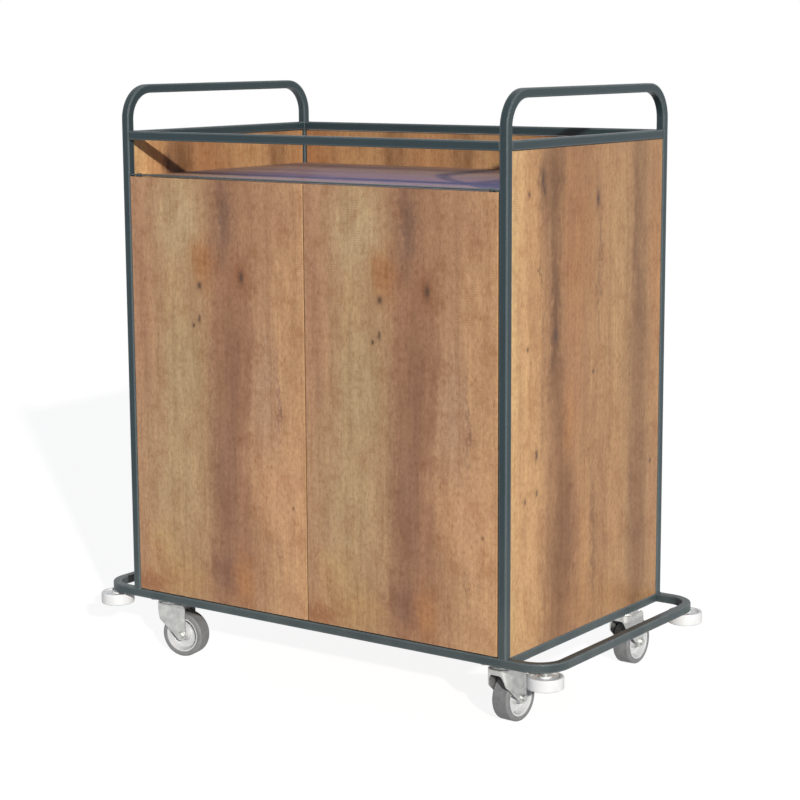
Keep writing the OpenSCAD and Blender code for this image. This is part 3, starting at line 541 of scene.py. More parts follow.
def fillet(points, steps=5):
    """Rounds a polyline's corners. Each point is (x, y, radius); a radius of 0 stays sharp."""
    result = []
    count = len(points)
    for i, (x, y, r) in enumerate(points):
        here = Vector((x, y))
        if r <= 0 or i in (0, count - 1):
            result.append(here)
            continue
        before = (Vector(points[i - 1][:2]) - here).normalized()
        after = (Vector(points[i + 1][:2]) - here).normalized()
        half = before.angle(after) / 2
        reach = min(r / math.tan(half), 0.49 * (Vector(points[i - 1][:2]) - here).length,
                    0.49 * (Vector(points[i + 1][:2]) - here).length)
        radius = reach * math.tan(half)
        centre = here + (before + after).normalized() * radius / math.sin(half)
        a = here + before * reach - centre
        b = here + after * reach - centre
        turn = a.angle_signed(b)
        for s in range(steps + 1):
            result.append(centre + Matrix.Rotation(-turn * s / steps, 2) @ a)
    return result


def to_mesh(bm, name, degrees=35.0):
    """A mesh that faces outwards and is smooth, except at edges sharper than the angle."""
    bmesh.ops.recalc_face_normals(bm, faces=bm.faces)
    mesh = bpy.data.meshes.new(name)
    bm.to_mesh(mesh)
    mesh.shade_smooth()
    # Read back, so that the faces have their normals
    bm.clear()
    bm.from_mesh(mesh)
    for edge in bm.edges:
        edge.smooth = len(edge.link_faces) == 2 and edge.calc_face_angle(0) < math.radians(degrees)
    bm.to_mesh(mesh)
    bm.free()
    return mesh


def circle(count):
    """Cosine and sine of equal steps round a circle."""
    return [(math.cos(2 * math.pi * s / count), math.sin(2 * math.pi * s / count))
            for s in range(count)]


def mirrored(upper, steps=5):
    """A closed, rounded profile of an upper half and its mirror image."""
    return fillet(upper + [(r, -h, f) for r, h, f in reversed(upper)], steps)


def turned_piece(name, profile, origin, axis, material, body, replaced, segments):
    """One part, turned from a closed profile of (radius, height), in place of CAD nodes."""
    bm = bmesh.new()
    axis = Vector(axis).normalized()
    side = axis.orthogonal().normalized()
    other = axis.cross(side)
    rings = []
    for cosine, sine in circle(segments):
        radial = cosine * side + sine * other
        rings.append([bm.verts.new(Vector(origin) + radial * r + axis * h) for r, h in profile])
    for one, two in zip(rings, rings[1:] + rings[:1]):
        for i in range(len(profile)):
            j = (i + 1) % len(profile)
            bm.faces.new((one[i], one[j], two[j], two[i]))
    return mesh_object(name, to_mesh(bm, name), material, body, replaced)


def ring(bm, radii, z):
    """Vertices around +Z at one height, one for each radius."""
    return [bm.verts.new((r * cosine, r * sine, z))
            for r, (cosine, sine) in zip(radii, circle(len(radii)))]


def skin(bm, rings):
    """Joins each ring to the next with faces, and closes both ends."""
    for one, two in zip(rings, rings[1:]):
        for s in range(len(one)):
            t = (s + 1) % len(one)
            bm.faces.new((one[s], one[t], two[t], two[s]))
    bm.faces.new(list(reversed(rings[0])))
    bm.faces.new(rings[-1])


def hexagon_head(bm, across_flats, height, base, top_chamfer):
    """A hexagon along +Z from base, its lower corners, or all, turned off at 30 degrees."""
    flat = across_flats / 2
    corner = across_flats / math.sqrt(3)
    chamfer = (corner - flat) * math.tan(math.radians(30))
    # The chamfer begins just inside the flats
    inner = flat * 0.97
    steps = [k / 4 for k in range(5)]
    rows = [(base, inner)] + [(base + chamfer * k, inner + (corner - inner) * k) for k in steps]
    if top_chamfer:
        rows += [(base + height - chamfer * k, inner + (corner - inner) * k) for k in reversed(steps)]
    else:
        rows.append((base + height, corner))
    sides = []
    for s in range(48):
        sector = (2 * math.pi * s / 48 + math.pi / 6) % (math.pi / 3) - math.pi / 6
        sides.append(flat / math.cos(sector))
    skin(bm, [ring(bm, [min(side, limit) for side in sides], z) for z, limit in rows])


# Depth of a rolled thread as a share of its pitch
THREAD_DEPTH = 0.61


def threaded_shank(bm, diameter, z0, z1, pitch, thread_from):
    """A bolt's shank along +Z, plain to thread_from and then with a rolled thread and a chamfer."""
    segments = 24
    radius = diameter / 2
    steps = int((z1 - thread_from) / pitch * 8)
    heights = [z0, thread_from]
    heights += [thread_from + (z1 - thread_from) * (k + 1) / steps for k in range(steps)]
    rings = []
    for z in heights:
        chamfered = radius - max(0.0, z - (z1 - pitch)) * 0.9
        radii = []
        for s in range(segments):
            phase = ((z - thread_from) / pitch - s / segments) % 1.0
            groove = 1 - abs(2 * phase - 1) if z > thread_from else 0.0
            radii.append(min(radius - THREAD_DEPTH * pitch * groove, chamfered))
        rings.append(ring(bm, radii, z))
    skin(bm, rings)


def cross_screw(name, head_diameter, head_height, shank_diameter, length):
    """A pan-head screw with a cross recess. Its seat is at the origin and it points to +Z."""
    bm = bmesh.new()
    head, shank = head_diameter / 2, shank_diameter / 2
    profile = fillet([
        (0.0, -head_height, 0), (head * 0.84, -head_height, head_height * 0.55),
        (head, -head_height * 0.35, head_height * 0.2), (head, 0.0, 0),
        (shank, 0.0, 0), (shank, length - shank, 0), (0.0, length, 0)], 4)
    rings = [[bm.verts.new((p.x * cosine, p.x * sine, p.y)) for p in profile]
             for cosine, sine in circle(32)]
    for one, two in zip(rings, rings[1:] + rings[:1]):
        for i in range(len(profile) - 1):
            bm.faces.new((one[i], two[i], two[i + 1], one[i + 1]))
    bmesh.ops.remove_doubles(bm, verts=bm.verts, dist=MERGE)
    # The recess is a cross-shaped cup that stands just proud of the head's crown, dark inside
    arm, reach = 0.28 * head, 0.66 * head
    quarter = [(arm, arm), (reach, arm), (reach, -arm)]
    outline = []
    for _ in range(4):
        outline += quarter
        quarter = [(y, -x) for x, y in quarter]
    top = -head_height * 1.02
    lip = [bm.verts.new((x, y, top)) for x, y in outline]
    floor = [bm.verts.new((0.55 * x, 0.55 * y, top + 0.6 * head_height)) for x, y in outline]
    for i in range(len(outline)):
        j = (i + 1) % len(outline)
        bm.faces.new((lip[i], lip[j], floor[j], floor[i]))
    bm.faces.new(floor)
    return to_mesh(bm, name)


# Geometry Nodes


def group_tree(name, inputs):
    """A geometry tree with a mesh input, the named inputs and one mesh output."""
    tree = bpy.data.node_groups.new(name, "GeometryNodeTree")
    tree.interface.new_socket("Geometry", in_out="INPUT", socket_type="NodeSocketGeometry")
    for label, kind in inputs:
        tree.interface.new_socket(label, in_out="INPUT", socket_type=kind)
    tree.interface.new_socket("Geometry", in_out="OUTPUT", socket_type="NodeSocketGeometry")
    given = add(tree, "NodeGroupInput").outputs
    return tree, given, add(tree, "NodeGroupOutput")


def run_tree(tree, mesh, values, name):
    """Runs a tree on a mesh and returns the plain mesh that it makes."""
    carrier = bpy.data.objects.new(name + "_carrier", mesh)
    bpy.context.scene.collection.objects.link(carrier)
    modifier = carrier.modifiers.new(tree.name, "NODES")
    modifier.node_group = tree
    for item in tree.interface.items_tree:
        if item.in_out == "INPUT" and item.name in values:
            modifier[item.identifier] = values[item.name]
    evaluated = carrier.evaluated_get(bpy.context.evaluated_depsgraph_get())
    made = bpy.data.meshes.new_from_object(evaluated)
    made.name = name
    carrier.modifiers.clear()
    bpy.data.objects.remove(carrier)
    return made


def bead_tree():
    """A weld bead along each path: a round that swells and thins with the welder's ripples."""
    tree, given, result = group_tree("weld_bead", [
        ("Bead radius", "NodeSocketFloat"), ("Ripple pitch", "NodeSocketFloat"),
        ("Finish", "NodeSocketMaterial")])
    curve = add(tree, "GeometryNodeMeshToCurve", {"Mesh": given["Geometry"]}).outputs[0]
    # Four points to each ripple
    step = maths(tree, "MULTIPLY", given["Ripple pitch"], 0.25)
    curve = add(tree, "GeometryNodeResampleCurve", {"Curve": curve, "Length": step}, mode="LENGTH")
    along = add(tree, "GeometryNodeSplineParameter").outputs["Length"]
    turns = maths(tree, "MULTIPLY", maths(tree, "DIVIDE", along, given["Ripple pitch"]), 2 * math.pi)
    size = remap(tree, maths(tree, "SINE", turns), -1.0, 1.0, 0.86, 1.0)
    size = maths(tree, "MULTIPLY", size, given["Bead radius"])
    profile = add(tree, "GeometryNodeCurvePrimitiveCircle", {"Resolution": 8, "Radius": 1.0})
    bead = add(tree, "GeometryNodeCurveToMesh", {
        "Curve": curve.outputs[0], "Profile Curve": profile.outputs["Curve"], "Scale": size,
        "Fill Caps": True}).outputs[0]
    bead = add(tree, "GeometryNodeSetShadeSmooth", {"Geometry": bead}).outputs[0]
    bead = add(tree, "GeometryNodeRealizeInstances", {"Geometry": bead}).outputs[0]
    bead = add(tree, "GeometryNodeSetMaterial", {"Geometry": bead, "Material": given["Finish"]})
    tree.links.new(bead.outputs[0], result.inputs[0])
    return tree


def stamp_tree():
    """Puts a copy of an object at each vertex, turned so that its +Z follows the vertex's direction."""
    tree, given, result = group_tree("fastener_row", [
        ("Fastener", "NodeSocketObject"), ("Finish", "NodeSocketMaterial")])
    source = add(tree, "GeometryNodeObjectInfo", {"Object": given["Fastener"]})
    direction = add(tree, "GeometryNodeInputNamedAttribute", {"Name": "direction"},
                    data_type="FLOAT_VECTOR").outputs["Attribute"]
    turn = add(tree, "FunctionNodeAlignRotationToVector", {"Vector": direction}, axis="Z").outputs[0]
    copies = add(tree, "GeometryNodeInstanceOnPoints", {
        "Points": given["Geometry"], "Instance": source.outputs["Geometry"], "Rotation": turn})
    copies = add(tree, "GeometryNodeRealizeInstances", {"Geometry": copies.outputs[0]}).outputs[0]
    copies = add(tree, "GeometryNodeSetMaterial", {"Geometry": copies, "Material": given["Finish"]})
    tree.links.new(copies.outputs[0], result.inputs[0])
    return tree


def stamp(name, source_mesh, places, material):
    """Copies of one mesh at (point, direction) places, as one plain mesh."""
    points = bpy.data.meshes.new(name + "_places")
    points.from_pydata([tuple(point) for point, _ in places], [], [])
    attribute = points.attributes.new("direction", "FLOAT_VECTOR", "POINT")
    for item, (_, direction) in zip(attribute.data, places):
        item.vector = direction
    source = bpy.data.objects.new(name + "_source", source_mesh)
    bpy.context.scene.collection.objects.link(source)
    tree = bpy.data.node_groups.get("fastener_row") or stamp_tree()
    made = run_tree(tree, points, {"Fastener": source, "Finish": material}, name)
    bpy.data.objects.remove(source)
    return made


# Places on the cart, from the frame's own boxes

RING_LOW, RING_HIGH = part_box("bumper_ring")
HOOP_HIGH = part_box("right_side_hoop")[1]
FRONT_RAIL_LOW, FRONT_RAIL_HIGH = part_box("front_top_rail")
TUBE = FRONT_RAIL_HIGH.z - FRONT_RAIL_LOW.z
OUT_X = HOOP_HIGH.x
OUT_Y = HOOP_HIGH.y
MID_X = OUT_X - TUBE / 2
MID_Y = OUT_Y - TUBE / 2
IN_X = OUT_X - TUBE
IN_Y = OUT_Y - TUBE


def dress(nodes, material):
    """Gives CAD nodes a finish."""
    for name in nodes:
        mesh = NODES[name].data
        mesh.materials.clear()
        mesh.materials.append(material)


# Settings


class CartFinishSettings(bpy.types.PropertyGroup):
    """Colours of the cart."""

    paint: bpy.props.FloatVectorProperty(
        name="Paint", description="Powder coat on the steel tubes", subtype="COLOR", size=3,
        default=linear("#253439"), min=0.0, max=1.0)


class CartHandleSettings(bpy.types.PropertyGroup):
    """Sizes of the push handles."""

    bend: bpy.props.FloatProperty(
        name="Handle bend", description="Centreline radius of a hoop's two bends",
        default=70 * MM, min=40 * MM, max=120 * MM, unit="LENGTH")


class CartWeldSettings(bpy.types.PropertyGroup):
    """Sizes of the weld beads."""

    radius: bpy.props.FloatProperty(
        name="Bead radius", description="Radius of a weld bead", default=1.3 * MM,
        min=0.5 * MM, max=3 * MM, unit="LENGTH")
    pitch: bpy.props.FloatProperty(
        name="Ripple pitch", description="Distance between the ripples of a bead",
        default=2.4 * MM, min=1 * MM, max=5 * MM, unit="LENGTH")


class CartWheelSettings(bpy.types.PropertyGroup):
    """Sizes of the turned plastic and rubber parts."""

    seam: bpy.props.FloatProperty(
        name="Mould seam", description="Height of the mould seam round a tyre", default=0.15 * MM,
        min=0.0, max=0.6 * MM, unit="LENGTH")
    segments: bpy.props.IntProperty(
        name="Segments", description="Segments round a wheel", default=96, min=24, max=192)


class CartStageSettings(bpy.types.PropertyGroup):
    """Strengths and softness of the lights."""

    sun: bpy.props.FloatProperty(
        name="Key light", description="Strength of the key light", default=4.6, min=0.0, max=10.0)
    sun_angle: bpy.props.FloatProperty(
        name="Key softness", description="Apparent size of the key light",
        default=math.radians(1.6), subtype="ANGLE", min=0.0, max=0.6)
    back: bpy.props.FloatProperty(
        name="Back light", description="Strength of the soft lamp behind the cart", default=1.8,
        min=0.0, max=10.0)
    fill: bpy.props.FloatProperty(
        name="Fill light", description="Strength of the even light from all round", default=0.2,
        min=0.0, max=3.0)


# Operators


class CART_OT_finishes(bpy.types.Operator):
    """Makes every finish and dresses the frame's own pieces."""

    bl_idname = "cart.finishes"
    bl_label = "Finishes"

    def execute(self, context):
        settings = context.scene.cart_finish
        dress(TUBE_NODES, powder_coated_steel(list(settings.paint)))
        dress(ZINC_NODES, zinc_plated_steel())
        dress(NYLON_NODES, moulded_plastic("white_nylon", "#e9e6dd", "#dfdbd0", 0.42))
        dress(BLACK_NODES, moulded_plastic("black_plastic", "#2b2d2f", "#232527", 0.4))
        dress(("door_buffers",), moulded_plastic("black_rubber", "#202122", "#19191a", 0.7))
        moulded_plastic("grey_polypropylene", "#bdbfc1", "#b0b3b5", 0.4)
        moulded_plastic("roller_polypropylene", "#d2d4d6", "#c6c9cb", 0.36)
        grey_rubber()
        return {"FINISHED"}


class CART_OT_boards(bpy.types.Operator):
    """Gives each board its oak print."""

    bl_idname = "cart.boards"
    bl_label = "Boards"

    def execute(self, context):
        for side in ("left", "right"):
            self.lay(f"{side}_door", "X", "Z", DOOR_PRINT)
            self.lay(f"{side}_side_panel", "Y", "Z", SIDE_PRINT, level=0.86)
        self.lay("back_panel", "-X", "Z", SIDE_PRINT, level=0.9)
        plain = {**SIDE_PRINT, "knots": []}
        for name in ("floor_board", "lower_shelf", "upper_shelf"):
            self.lay(name, "Y", "X", plain, level=0.9)
        # Painted light: the tray's print is made lighter than the shelves' (level 1.27), and it gets the
        # painted sky reflection
        painted_sky_reflection(self.lay("tray_board", "Y", "X", plain, gloss=0.7, level=1.27))
        return {"FINISHED"}

    def lay(self, name, across, along, pattern, **look):
        """Gives one board its print. Upright prints begin at the bumper ring's top."""
        low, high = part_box(name)
        starts = {"X": low.x, "-X": -high.x, "Y": low.y, "Z": RING_HIGH.z}
        label = name.replace("side_panel", "panel")
        material = oak_laminate(
            f"oak_laminate_{label}", across, along, (starts[across], starts[along]), pattern, **look)
        dress((name,), material)
        return material


class CART_OT_handles(bpy.types.Operator):
    """Draws the two side hoops with the wide bends of their push handles."""

    bl_idname = "cart.handles"
    bl_label = "Handle bends"

    def execute(self, context):
        bend = context.scene.cart_handle.bend
        finish = FINISHES["powder_coated_steel"]
        near = 0.01 * MM
        for side in ("left", "right"):
            node = NODES[f"{side}_side_hoop"]
            bm = bmesh.new()
            bm.from_mesh(node.data)
            bmesh.ops.remove_doubles(bm, verts=bm.verts, dist=MERGE)
            # The posts are straight up to where the bends begin
            bend_start = max(v.co.z for v in bm.verts if abs(v.co.y) > OUT_Y - near)
            bar_z = HOOP_HIGH.z - TUBE / 2
            growth = bend - (bar_z - bend_start)
            for vert in bm.verts:
                if vert.co.z > bend_start - near:
                    self.move_out(vert, bar_z - bend_start, growth, bend_start)
            mesh = bpy.data.meshes.new(f"{side}_bent_hoop")
            bm.to_mesh(mesh)
            bm.free()
            mesh_object(mesh.name, mesh, finish, BASE_BODY, (node.name,))
        return {"FINISHED"}

    def move_out(self, vert, radius, growth, bend_start):
        """Moves a point of a bend along its own direction from the bend's centre."""
        side = 1.0 if vert.co.y > 0 else -1.0
        centre = Vector((MID_Y - radius, bend_start))
        arm = Vector((abs(vert.co.y), vert.co.z)) - centre
        place = centre - Vector((growth, growth)) + arm.normalized() * (arm.length + growth)
        vert.co.y = side * place.x
        vert.co.z = place.y


# A bead turns a tube's corner from this far before it
BEAD_TURN = 2 * MM


class CART_OT_welds(bpy.types.Operator):
    """Lays a weld bead where tubes meet."""

    bl_idname = "cart.welds"
    bl_label = "Weld beads"

    def execute(self, context):
        settings = context.scene.cart_weld
        half = TUBE / 2
        paths = []
        for sx in (-1, 1):
            # Front posts are welded on three sides, rear posts on their two outer sides
            foot = RING_HIGH.z
            x0, x1 = sx * (MID_X - half), sx * (MID_X + half)
            turn = sx * BEAD_TURN
            paths.append([(x0, -MID_Y + half * 0.6, foot), (x0, -OUT_Y + BEAD_TURN, foot),
                          (x0 + turn, -OUT_Y, foot), (x1 - turn, -OUT_Y, foot),
                          (x1, -OUT_Y + BEAD_TURN, foot), (x1, -MID_Y + half * 0.8, foot)])
            paths.append([(x1, MID_Y - half * 0.8, foot), (x1, OUT_Y - BEAD_TURN, foot),
                          (x1 - turn, OUT_Y, foot), (x0 + 1.5 * turn, OUT_Y, foot)])
            # Rails that end on a post, seen along the rail: top and sides
            for y, low_side in ((-MID_Y, True), (MID_Y, False)):
                paths.append(self.rail_end(sx * IN_X, y, FRONT_RAIL_LOW.z, "X", low_side))
            for sy in (-1, 1):
                paths.append(self.rail_end(sy * IN_Y, sx * MID_X, FRONT_RAIL_LOW.z, "Y", False))
        verts, edges = [], []
        for path in paths:
            start = len(verts)
            verts += path
            edges += [(start + i, start + i + 1) for i in range(len(path) - 1)]
        mesh = bpy.data.meshes.new("weld_paths")
        mesh.from_pydata(verts, edges, [])
        finish = FINISHES["powder_coated_steel"]
        made = run_tree(bead_tree(), mesh, {
            "Bead radius": settings.radius, "Ripple pitch": settings.pitch, "Finish": finish},
            "weld_beads")
        mesh_object("weld_beads", made, finish, BASE_BODY)
        return {"FINISHED"}

    def rail_end(self, end, side, low, axis, closed):
        """The bead round a rail's end: both sides and the top, and the underside where it is free."""
        half, ease, top = TUBE / 2, BEAD_TURN, low + TUBE
        ring = [(-half, low + ease), (-half, top - ease), (-half + ease, top),
                (half - ease, top), (half, top - ease), (half, low + ease)]
        if closed:
            ring += [(half - ease, low), (-half + ease, low), (-half, low + ease)]
        if axis == "X":
            return [(end, side + a, z) for a, z in ring]
        return [(side + a, end, z) for a, z in ring]


# Height of a pan head as a share of its diameter
PAN_HEIGHT = 0.3


class CART_OT_screws(bpy.types.Operator):
    """Replaces the plain inner screws with cross-recess ones."""

    bl_idname = "cart.screws"
    bl_label = "Inner screws"

    def execute(self, context):
        places = []
        for low, high in islands(NODES["inner_screws"].data):
            size = high - low
            axis = max(range(3), key=lambda i: size[i])
            point = (low + high) / 2
            outward = point[axis] > 0
            direction = Vector((0, 0, 0))
            direction[axis] = 1.0 if outward else -1.0
            head = min(size[i] for i in range(3) if i != axis)
            head_height = PAN_HEIGHT * head
            tip = high[axis] if outward else low[axis]
            point[axis] = tip - direction[axis] * (size[axis] - head_height)
            places.append((point, direction))
        source = cross_screw("cross_screw", head, head_height, head / 2, size[axis] - head_height)
        finish = FINISHES["zinc_plated_steel"]
        made = stamp("inner_cross_screws", source, places, finish)
        mesh_object("inner_cross_screws", made, finish, BASE_BODY, ("inner_screws",))
        return {"FINISHED"}


def islands(mesh):
    """The boxes of a mesh's separate solids."""
    bm = bmesh.new()
    bm.from_mesh(mesh)
    bmesh.ops.remove_doubles(bm, verts=bm.verts, dist=MERGE)
    seen, boxes = set(), []
    for first in bm.verts:
        if first in seen:
            continue
        stack, members = [first], []
        seen.add(first)
        while stack:
            vert = stack.pop()
            members.append(vert.co)
            for edge in vert.link_edges:
                other = edge.other_vert(vert)
                if other not in seen:
                    seen.add(other)
                    stack.append(other)
        boxes.append((Vector([min(c[i] for c in members) for i in range(3)]),
                      Vector([max(c[i] for c in members) for i in range(3)])))
    bm.free()
    return boxes


class CART_OT_bolts(bpy.types.Operator):
    """Replaces the plain caster bolts and nuts with chamfered, threaded ones."""

    bl_idname = "cart.bolts"
    bl_label = "Bolts and nuts"

    def execute(self, context):
        finish = FINISHES["zinc_plated_steel"]
        boxes = islands(NODES["caster_bolts"].data)
        low, high = boxes[0]
        across = min(high.x - low.x, high.y - low.y)
        # Proportions and pitch of an M8 bolt and its nut: 13 mm across flats, heights 5.2 and 6.4 mm
        diameter = across * 8 / 13
        head_height = 0.65 * diameter
        nut_base = RING_LOW.z - low.z
        bm = bmesh.new()
        hexagon_head(bm, across, head_height, 0.0, False)
        hexagon_head(bm, across, 0.8 * diameter, nut_base, True)
        threaded_shank(bm, diameter, head_height, high.z - low.z, 1.25 * MM, nut_base - 2 * MM)
        source = to_mesh(bm, "caster_bolt", 25.0)
        places = [(Vector(((a.x + b.x) / 2, (a.y + b.y) / 2, a.z)), (0, 0, 1)) for a, b in boxes]
        made = stamp("caster_bolts_and_nuts", source, places, finish)
        mesh_object("caster_bolts_and_nuts", made, finish, BASE_BODY,
                    ("caster_bolts",))
        return {"FINISHED"}


# Radius of the boss round a wheel's or a roller's bore, and half the thickness of a hub's web
BOSS = 13 * MM
WEB_HALF = 4.5 * MM
# How far a tyre's side edges and a roller's edges are rounded
TYRE_SHOULDER = 9 * MM
ROLLER_EDGE = 5 * MM
# How deep a roller's end faces are recessed between boss and rim
ROLLER_RECESS = 3 * MM


class CART_OT_wheels(bpy.types.Operator):
    """Turns the hubs and tyres of the casters."""

    bl_idname = "cart.wheels"
    bl_label = "Wheels"

    def execute(self, context):
        settings = context.scene.cart_wheel
        for corner in CORNERS:
            joint = JOINTS[f"{corner}_wheel_spin"]
            origin, axis = Vector(joint["pos_m"]), Vector(joint["axis"])
            radius = origin.z
            hub, tyre = NODES[f"{corner}_hub"], NODES[f"{corner}_tyre"]
            boss_half, half = reach(hub, origin, axis), reach(tyre, origin, axis)
            bore, rim = inner_radius(hub, origin, axis), inner_radius(tyre, origin, axis)
            # Points of a profile are radius, height and rounding: boss, web, then the rim's lip
            profile = mirrored([
                (bore, boss_half, 0), (BOSS, boss_half, 1 * MM), (BOSS + 0.4 * MM, 14 * MM, 1 * MM),
                (BOSS + 5 * MM, WEB_HALF, 4 * MM), (rim - 9 * MM, WEB_HALF, 4 * MM),
                (rim - 4.6 * MM, half - 3 * MM, 1.5 * MM), (rim - 3.6 * MM, half - 1 * MM, 0.8 * MM),
                (rim, half - 1 * MM, 0)])
            turned_piece(f"{corner}_moulded_hub", profile, origin, axis,
                         FINISHES["grey_polypropylene"], f"{corner}_wheel",
                         (hub.name,), settings.segments)
            # The mould seam is a low ridge round the middle of the tread
            tread = radius - settings.seam
            profile = mirrored([
                (rim, half - 0.6 * MM, 0), (rim + 0.8 * MM, half, 0.6 * MM),
                (tread, half, TYRE_SHOULDER), (tread, 2 * MM, 0), (tread, 0.8 * MM, 0),
                (radius, 0.25 * MM, 0)], 12)
            turned_piece(f"{corner}_rubber_tyre", profile, origin, axis,
                         FINISHES["grey_rubber"], f"{corner}_wheel",
                         (tyre.name,), settings.segments)
        return {"FINISHED"}


def reach(node, origin, axis):
    """How far a node reaches from a point along an axis."""
    axis = axis.normalized()
    return max((v.co - origin).dot(axis) for v in node.data.vertices)


def inner_radius(node, origin, axis):
    """The smallest distance of a node's vertices from an axis."""
    axis = axis.normalized()
    return min(((v.co - origin) - axis * (v.co - origin).dot(axis)).length
               for v in node.data.vertices)


class CART_OT_rollers(bpy.types.Operator):
    """Turns the corner rollers."""

    bl_idname = "cart.rollers"
    bl_label = "Corner rollers"

    def execute(self, context):
        settings = context.scene.cart_wheel
        for corner in CORNERS:
            node = NODES[f"{corner}_roller"]
            low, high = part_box(node.name)
            centre = (low + high) / 2
            radius, half = (high.x - low.x) / 2, (high.z - low.z) / 2
            bore = inner_radius(node, centre, Vector((0, 0, 1)))
            floor = half - ROLLER_RECESS
            profile = fillet([
                (bore, half, 0), (BOSS, half, 0.8 * MM), (BOSS + 0.6 * MM, floor, 0.8 * MM),
                (radius - 9.5 * MM, floor, 1 * MM), (radius - 8.5 * MM, half, 1 * MM),
                (radius, half, ROLLER_EDGE), (radius, half - 6 * MM, 0)])
            profile += [Vector((p.x, -p.y)) for p in reversed(profile)]
            turned_piece(f"{corner}_moulded_roller", profile, centre, (0, 0, 1),
                         FINISHES["roller_polypropylene"], f"{corner}_roller",
                         (node.name,), settings.segments)
        return {"FINISHED"}


# Camera, solved from the edges of the frame in the reference view
CAMERA_PLACE = Vector((2.841, -3.948, 1.4597))
CAMERA_YAW = math.radians(35.59)
CAMERA_PITCH = math.radians(9.672)
CAMERA_ROLL = math.radians(-0.291)
CAMERA_LENS = 94.37
# Key light's way: to the left, to the back and down, as the tray's shadows show
SUN_WAY = Vector((-1.2, 1.0, -0.55))
# The back light comes almost level, so that it lights the back and the left side and not the tray
BACK_WAY = Vector((1.0, -0.9, -0.12))
BACK_ANGLE = math.radians(60)
# Half the floor's side in metres, and what the camera sees of it: less of its own grey, more glow
FLOOR_HALF = 14.0
FLOOR_DIMMED = 0.7
FLOOR_GLOW = 0.9


def seen_directly(tree):
    """1 for what the camera sees, also in metal or through glass, and 0 for light on the object."""
    path = add(tree, "ShaderNodeLightPath").outputs
    seen = maths(tree, "MAXIMUM", path["Is Camera Ray"], path["Is Glossy Ray"])
    return maths(tree, "MAXIMUM", seen, path["Is Transmission Ray"])


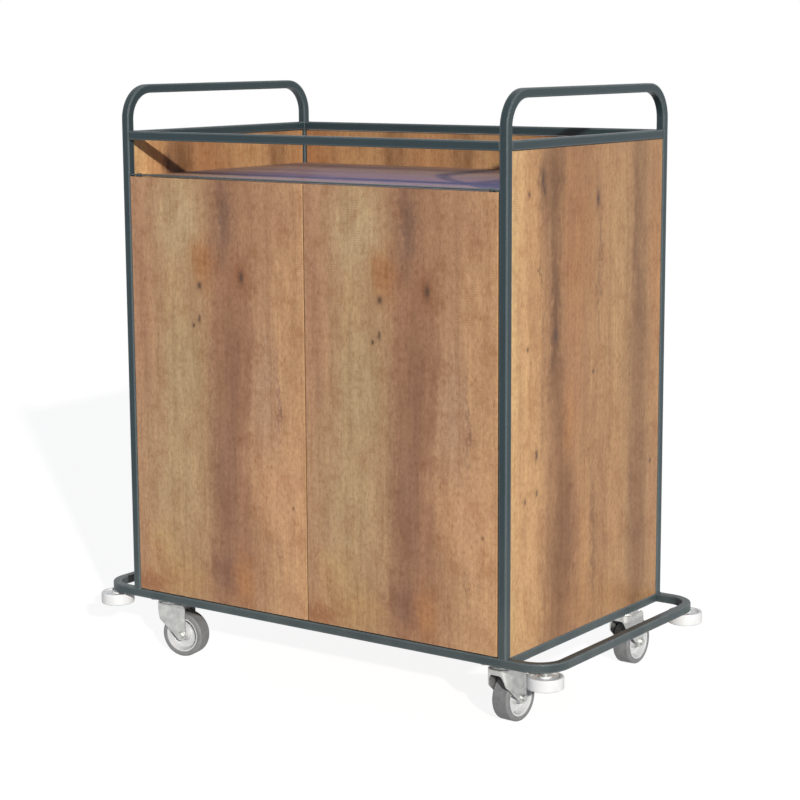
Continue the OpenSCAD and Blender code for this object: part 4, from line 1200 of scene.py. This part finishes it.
class CART_OT_stage(bpy.types.Operator):
    """Sets the floor, the light and the camera."""

    bl_idname = "cart.stage"
    bl_label = "Stage"

    def execute(self, context):
        settings = context.scene.cart_stage
        self.floor()
        self.light(settings)
        self.camera()
        context.scene.view_settings.view_transform = "Standard"
        return {"FINISHED"}

    def floor(self):
        """A pale floor that stays white to the camera and still takes the cart's shadow."""
        mesh = bpy.data.meshes.new("floor")
        signs = ((-1, -1), (1, -1), (1, 1), (-1, 1))
        mesh.from_pydata([(x * FLOOR_HALF, y * FLOOR_HALF, 0) for x, y in signs], [], [(0, 1, 2, 3)])
        floor = bpy.data.objects.new("floor", mesh)
        bpy.context.scene.collection.objects.link(floor)
        material = bpy.data.materials.new("pale_floor")
        material.use_nodes = True
        tree = material.node_tree
        tree.nodes.clear()
        matt = add(tree, "ShaderNodeBsdfDiffuse", {"Color": colour("#c8c8c8")})
        # Where the key reaches the floor, the two parts add up to white
        seen = seen_directly(tree)
        matt = add(tree, "ShaderNodeMixShader", {
            0: maths(tree, "MULTIPLY", seen, FLOOR_DIMMED), 1: matt.outputs[0]})
        white = add(tree, "ShaderNodeEmission", {
            "Color": colour("#ffffff"), "Strength": maths(tree, "MULTIPLY", seen, FLOOR_GLOW)})
        both = add(tree, "ShaderNodeAddShader", {0: matt.outputs[0], 1: white.outputs[0]})
        output = add(tree, "ShaderNodeOutputMaterial")
        tree.links.new(both.outputs[0], output.inputs["Surface"])
        mesh.materials.append(material)

    def light(self, settings):
        """A warm key, low from the front right, a weak soft lamp opposite and an even cool fill."""
        for name, energy, angle, tone, way in (
                ("key", settings.sun, settings.sun_angle, "#fffaf3", SUN_WAY),
                ("back_light", settings.back, BACK_ANGLE, "#f2f5ff", BACK_WAY)):
            sun = bpy.data.lights.new(name, "SUN")
            sun.energy = energy
            sun.angle = angle
            sun.color = linear(tone)
            lamp = bpy.data.objects.new(name, sun)
            lamp.rotation_euler = way.to_track_quat("-Z", "Y").to_euler()
            # Only the key is seen in reflections
            lamp.visible_glossy = name == "key"
            bpy.context.scene.collection.objects.link(lamp)
        world = bpy.data.worlds.new("studio")
        bpy.context.scene.world = world
        world.use_nodes = True
        tree = world.node_tree
        tree.nodes.clear()
        even = add(tree, "ShaderNodeBackground", {"Color": colour("#dfe8ff"), "Strength": settings.fill})
        white = add(tree, "ShaderNodeBackground", {"Color": colour("#ffffff"), "Strength": 1.0})
        mixed = add(tree, "ShaderNodeMixShader", {
            0: seen_directly(tree), 1: even.outputs[0], 2: white.outputs[0]})
        output = add(tree, "ShaderNodeOutputWorld")
        tree.links.new(mixed.outputs[0], output.inputs["Surface"])

    def camera(self):
        """The camera of the reference view."""
        data = bpy.data.cameras.new("camera")
        data.lens = CAMERA_LENS
        data.clip_end = 100.0
        camera = bpy.data.objects.new("camera", data)
        turn = (Matrix.Rotation(CAMERA_YAW, 4, "Z")
                @ Matrix.Rotation(math.radians(90) - CAMERA_PITCH, 4, "X")
                @ Matrix.Rotation(CAMERA_ROLL, 4, "Z"))
        camera.matrix_world = Matrix.Translation(CAMERA_PLACE) @ turn
        bpy.context.scene.collection.objects.link(camera)
        bpy.context.scene.camera = camera


class CART_PT_panel(bpy.types.Panel):
    """Shows the cart's settings and its operators' buttons in the sidebar."""

    bl_label = "Minibar cart"
    bl_idname = "CART_PT_panel"
    bl_space_type = "VIEW_3D"
    bl_region_type = "UI"
    bl_category = "Cart"

    def draw(self, context):
        for name in SETTINGS:
            group = getattr(context.scene, name)
            box = self.layout.box()
            for key in group.__annotations__:
                box.prop(group, key)
        for operator in OPERATORS:
            self.layout.operator(operator.bl_idname)


SETTINGS = {
    "cart_finish": CartFinishSettings,
    "cart_handle": CartHandleSettings,
    "cart_weld": CartWeldSettings,
    "cart_wheel": CartWheelSettings,
    "cart_stage": CartStageSettings,
}
OPERATORS = (
    CART_OT_finishes, CART_OT_boards, CART_OT_handles, CART_OT_welds, CART_OT_screws,
    CART_OT_bolts, CART_OT_wheels, CART_OT_rollers, CART_OT_stage,
)


def register():
    for cls in (*SETTINGS.values(), *OPERATORS, CART_PT_panel):
        bpy.utils.register_class(cls)
    for name, cls in SETTINGS.items():
        setattr(bpy.types.Scene, name, bpy.props.PointerProperty(type=cls))


def unregister():
    for name in SETTINGS:
        delattr(bpy.types.Scene, name)
    for cls in reversed((*SETTINGS.values(), *OPERATORS, CART_PT_panel)):
        bpy.utils.unregister_class(cls)


def main():
    register()
    for operator in OPERATORS:
        group, name = operator.bl_idname.split(".")
        getattr(getattr(bpy.ops, group), name)()


if __name__ == "__main__":
    main()
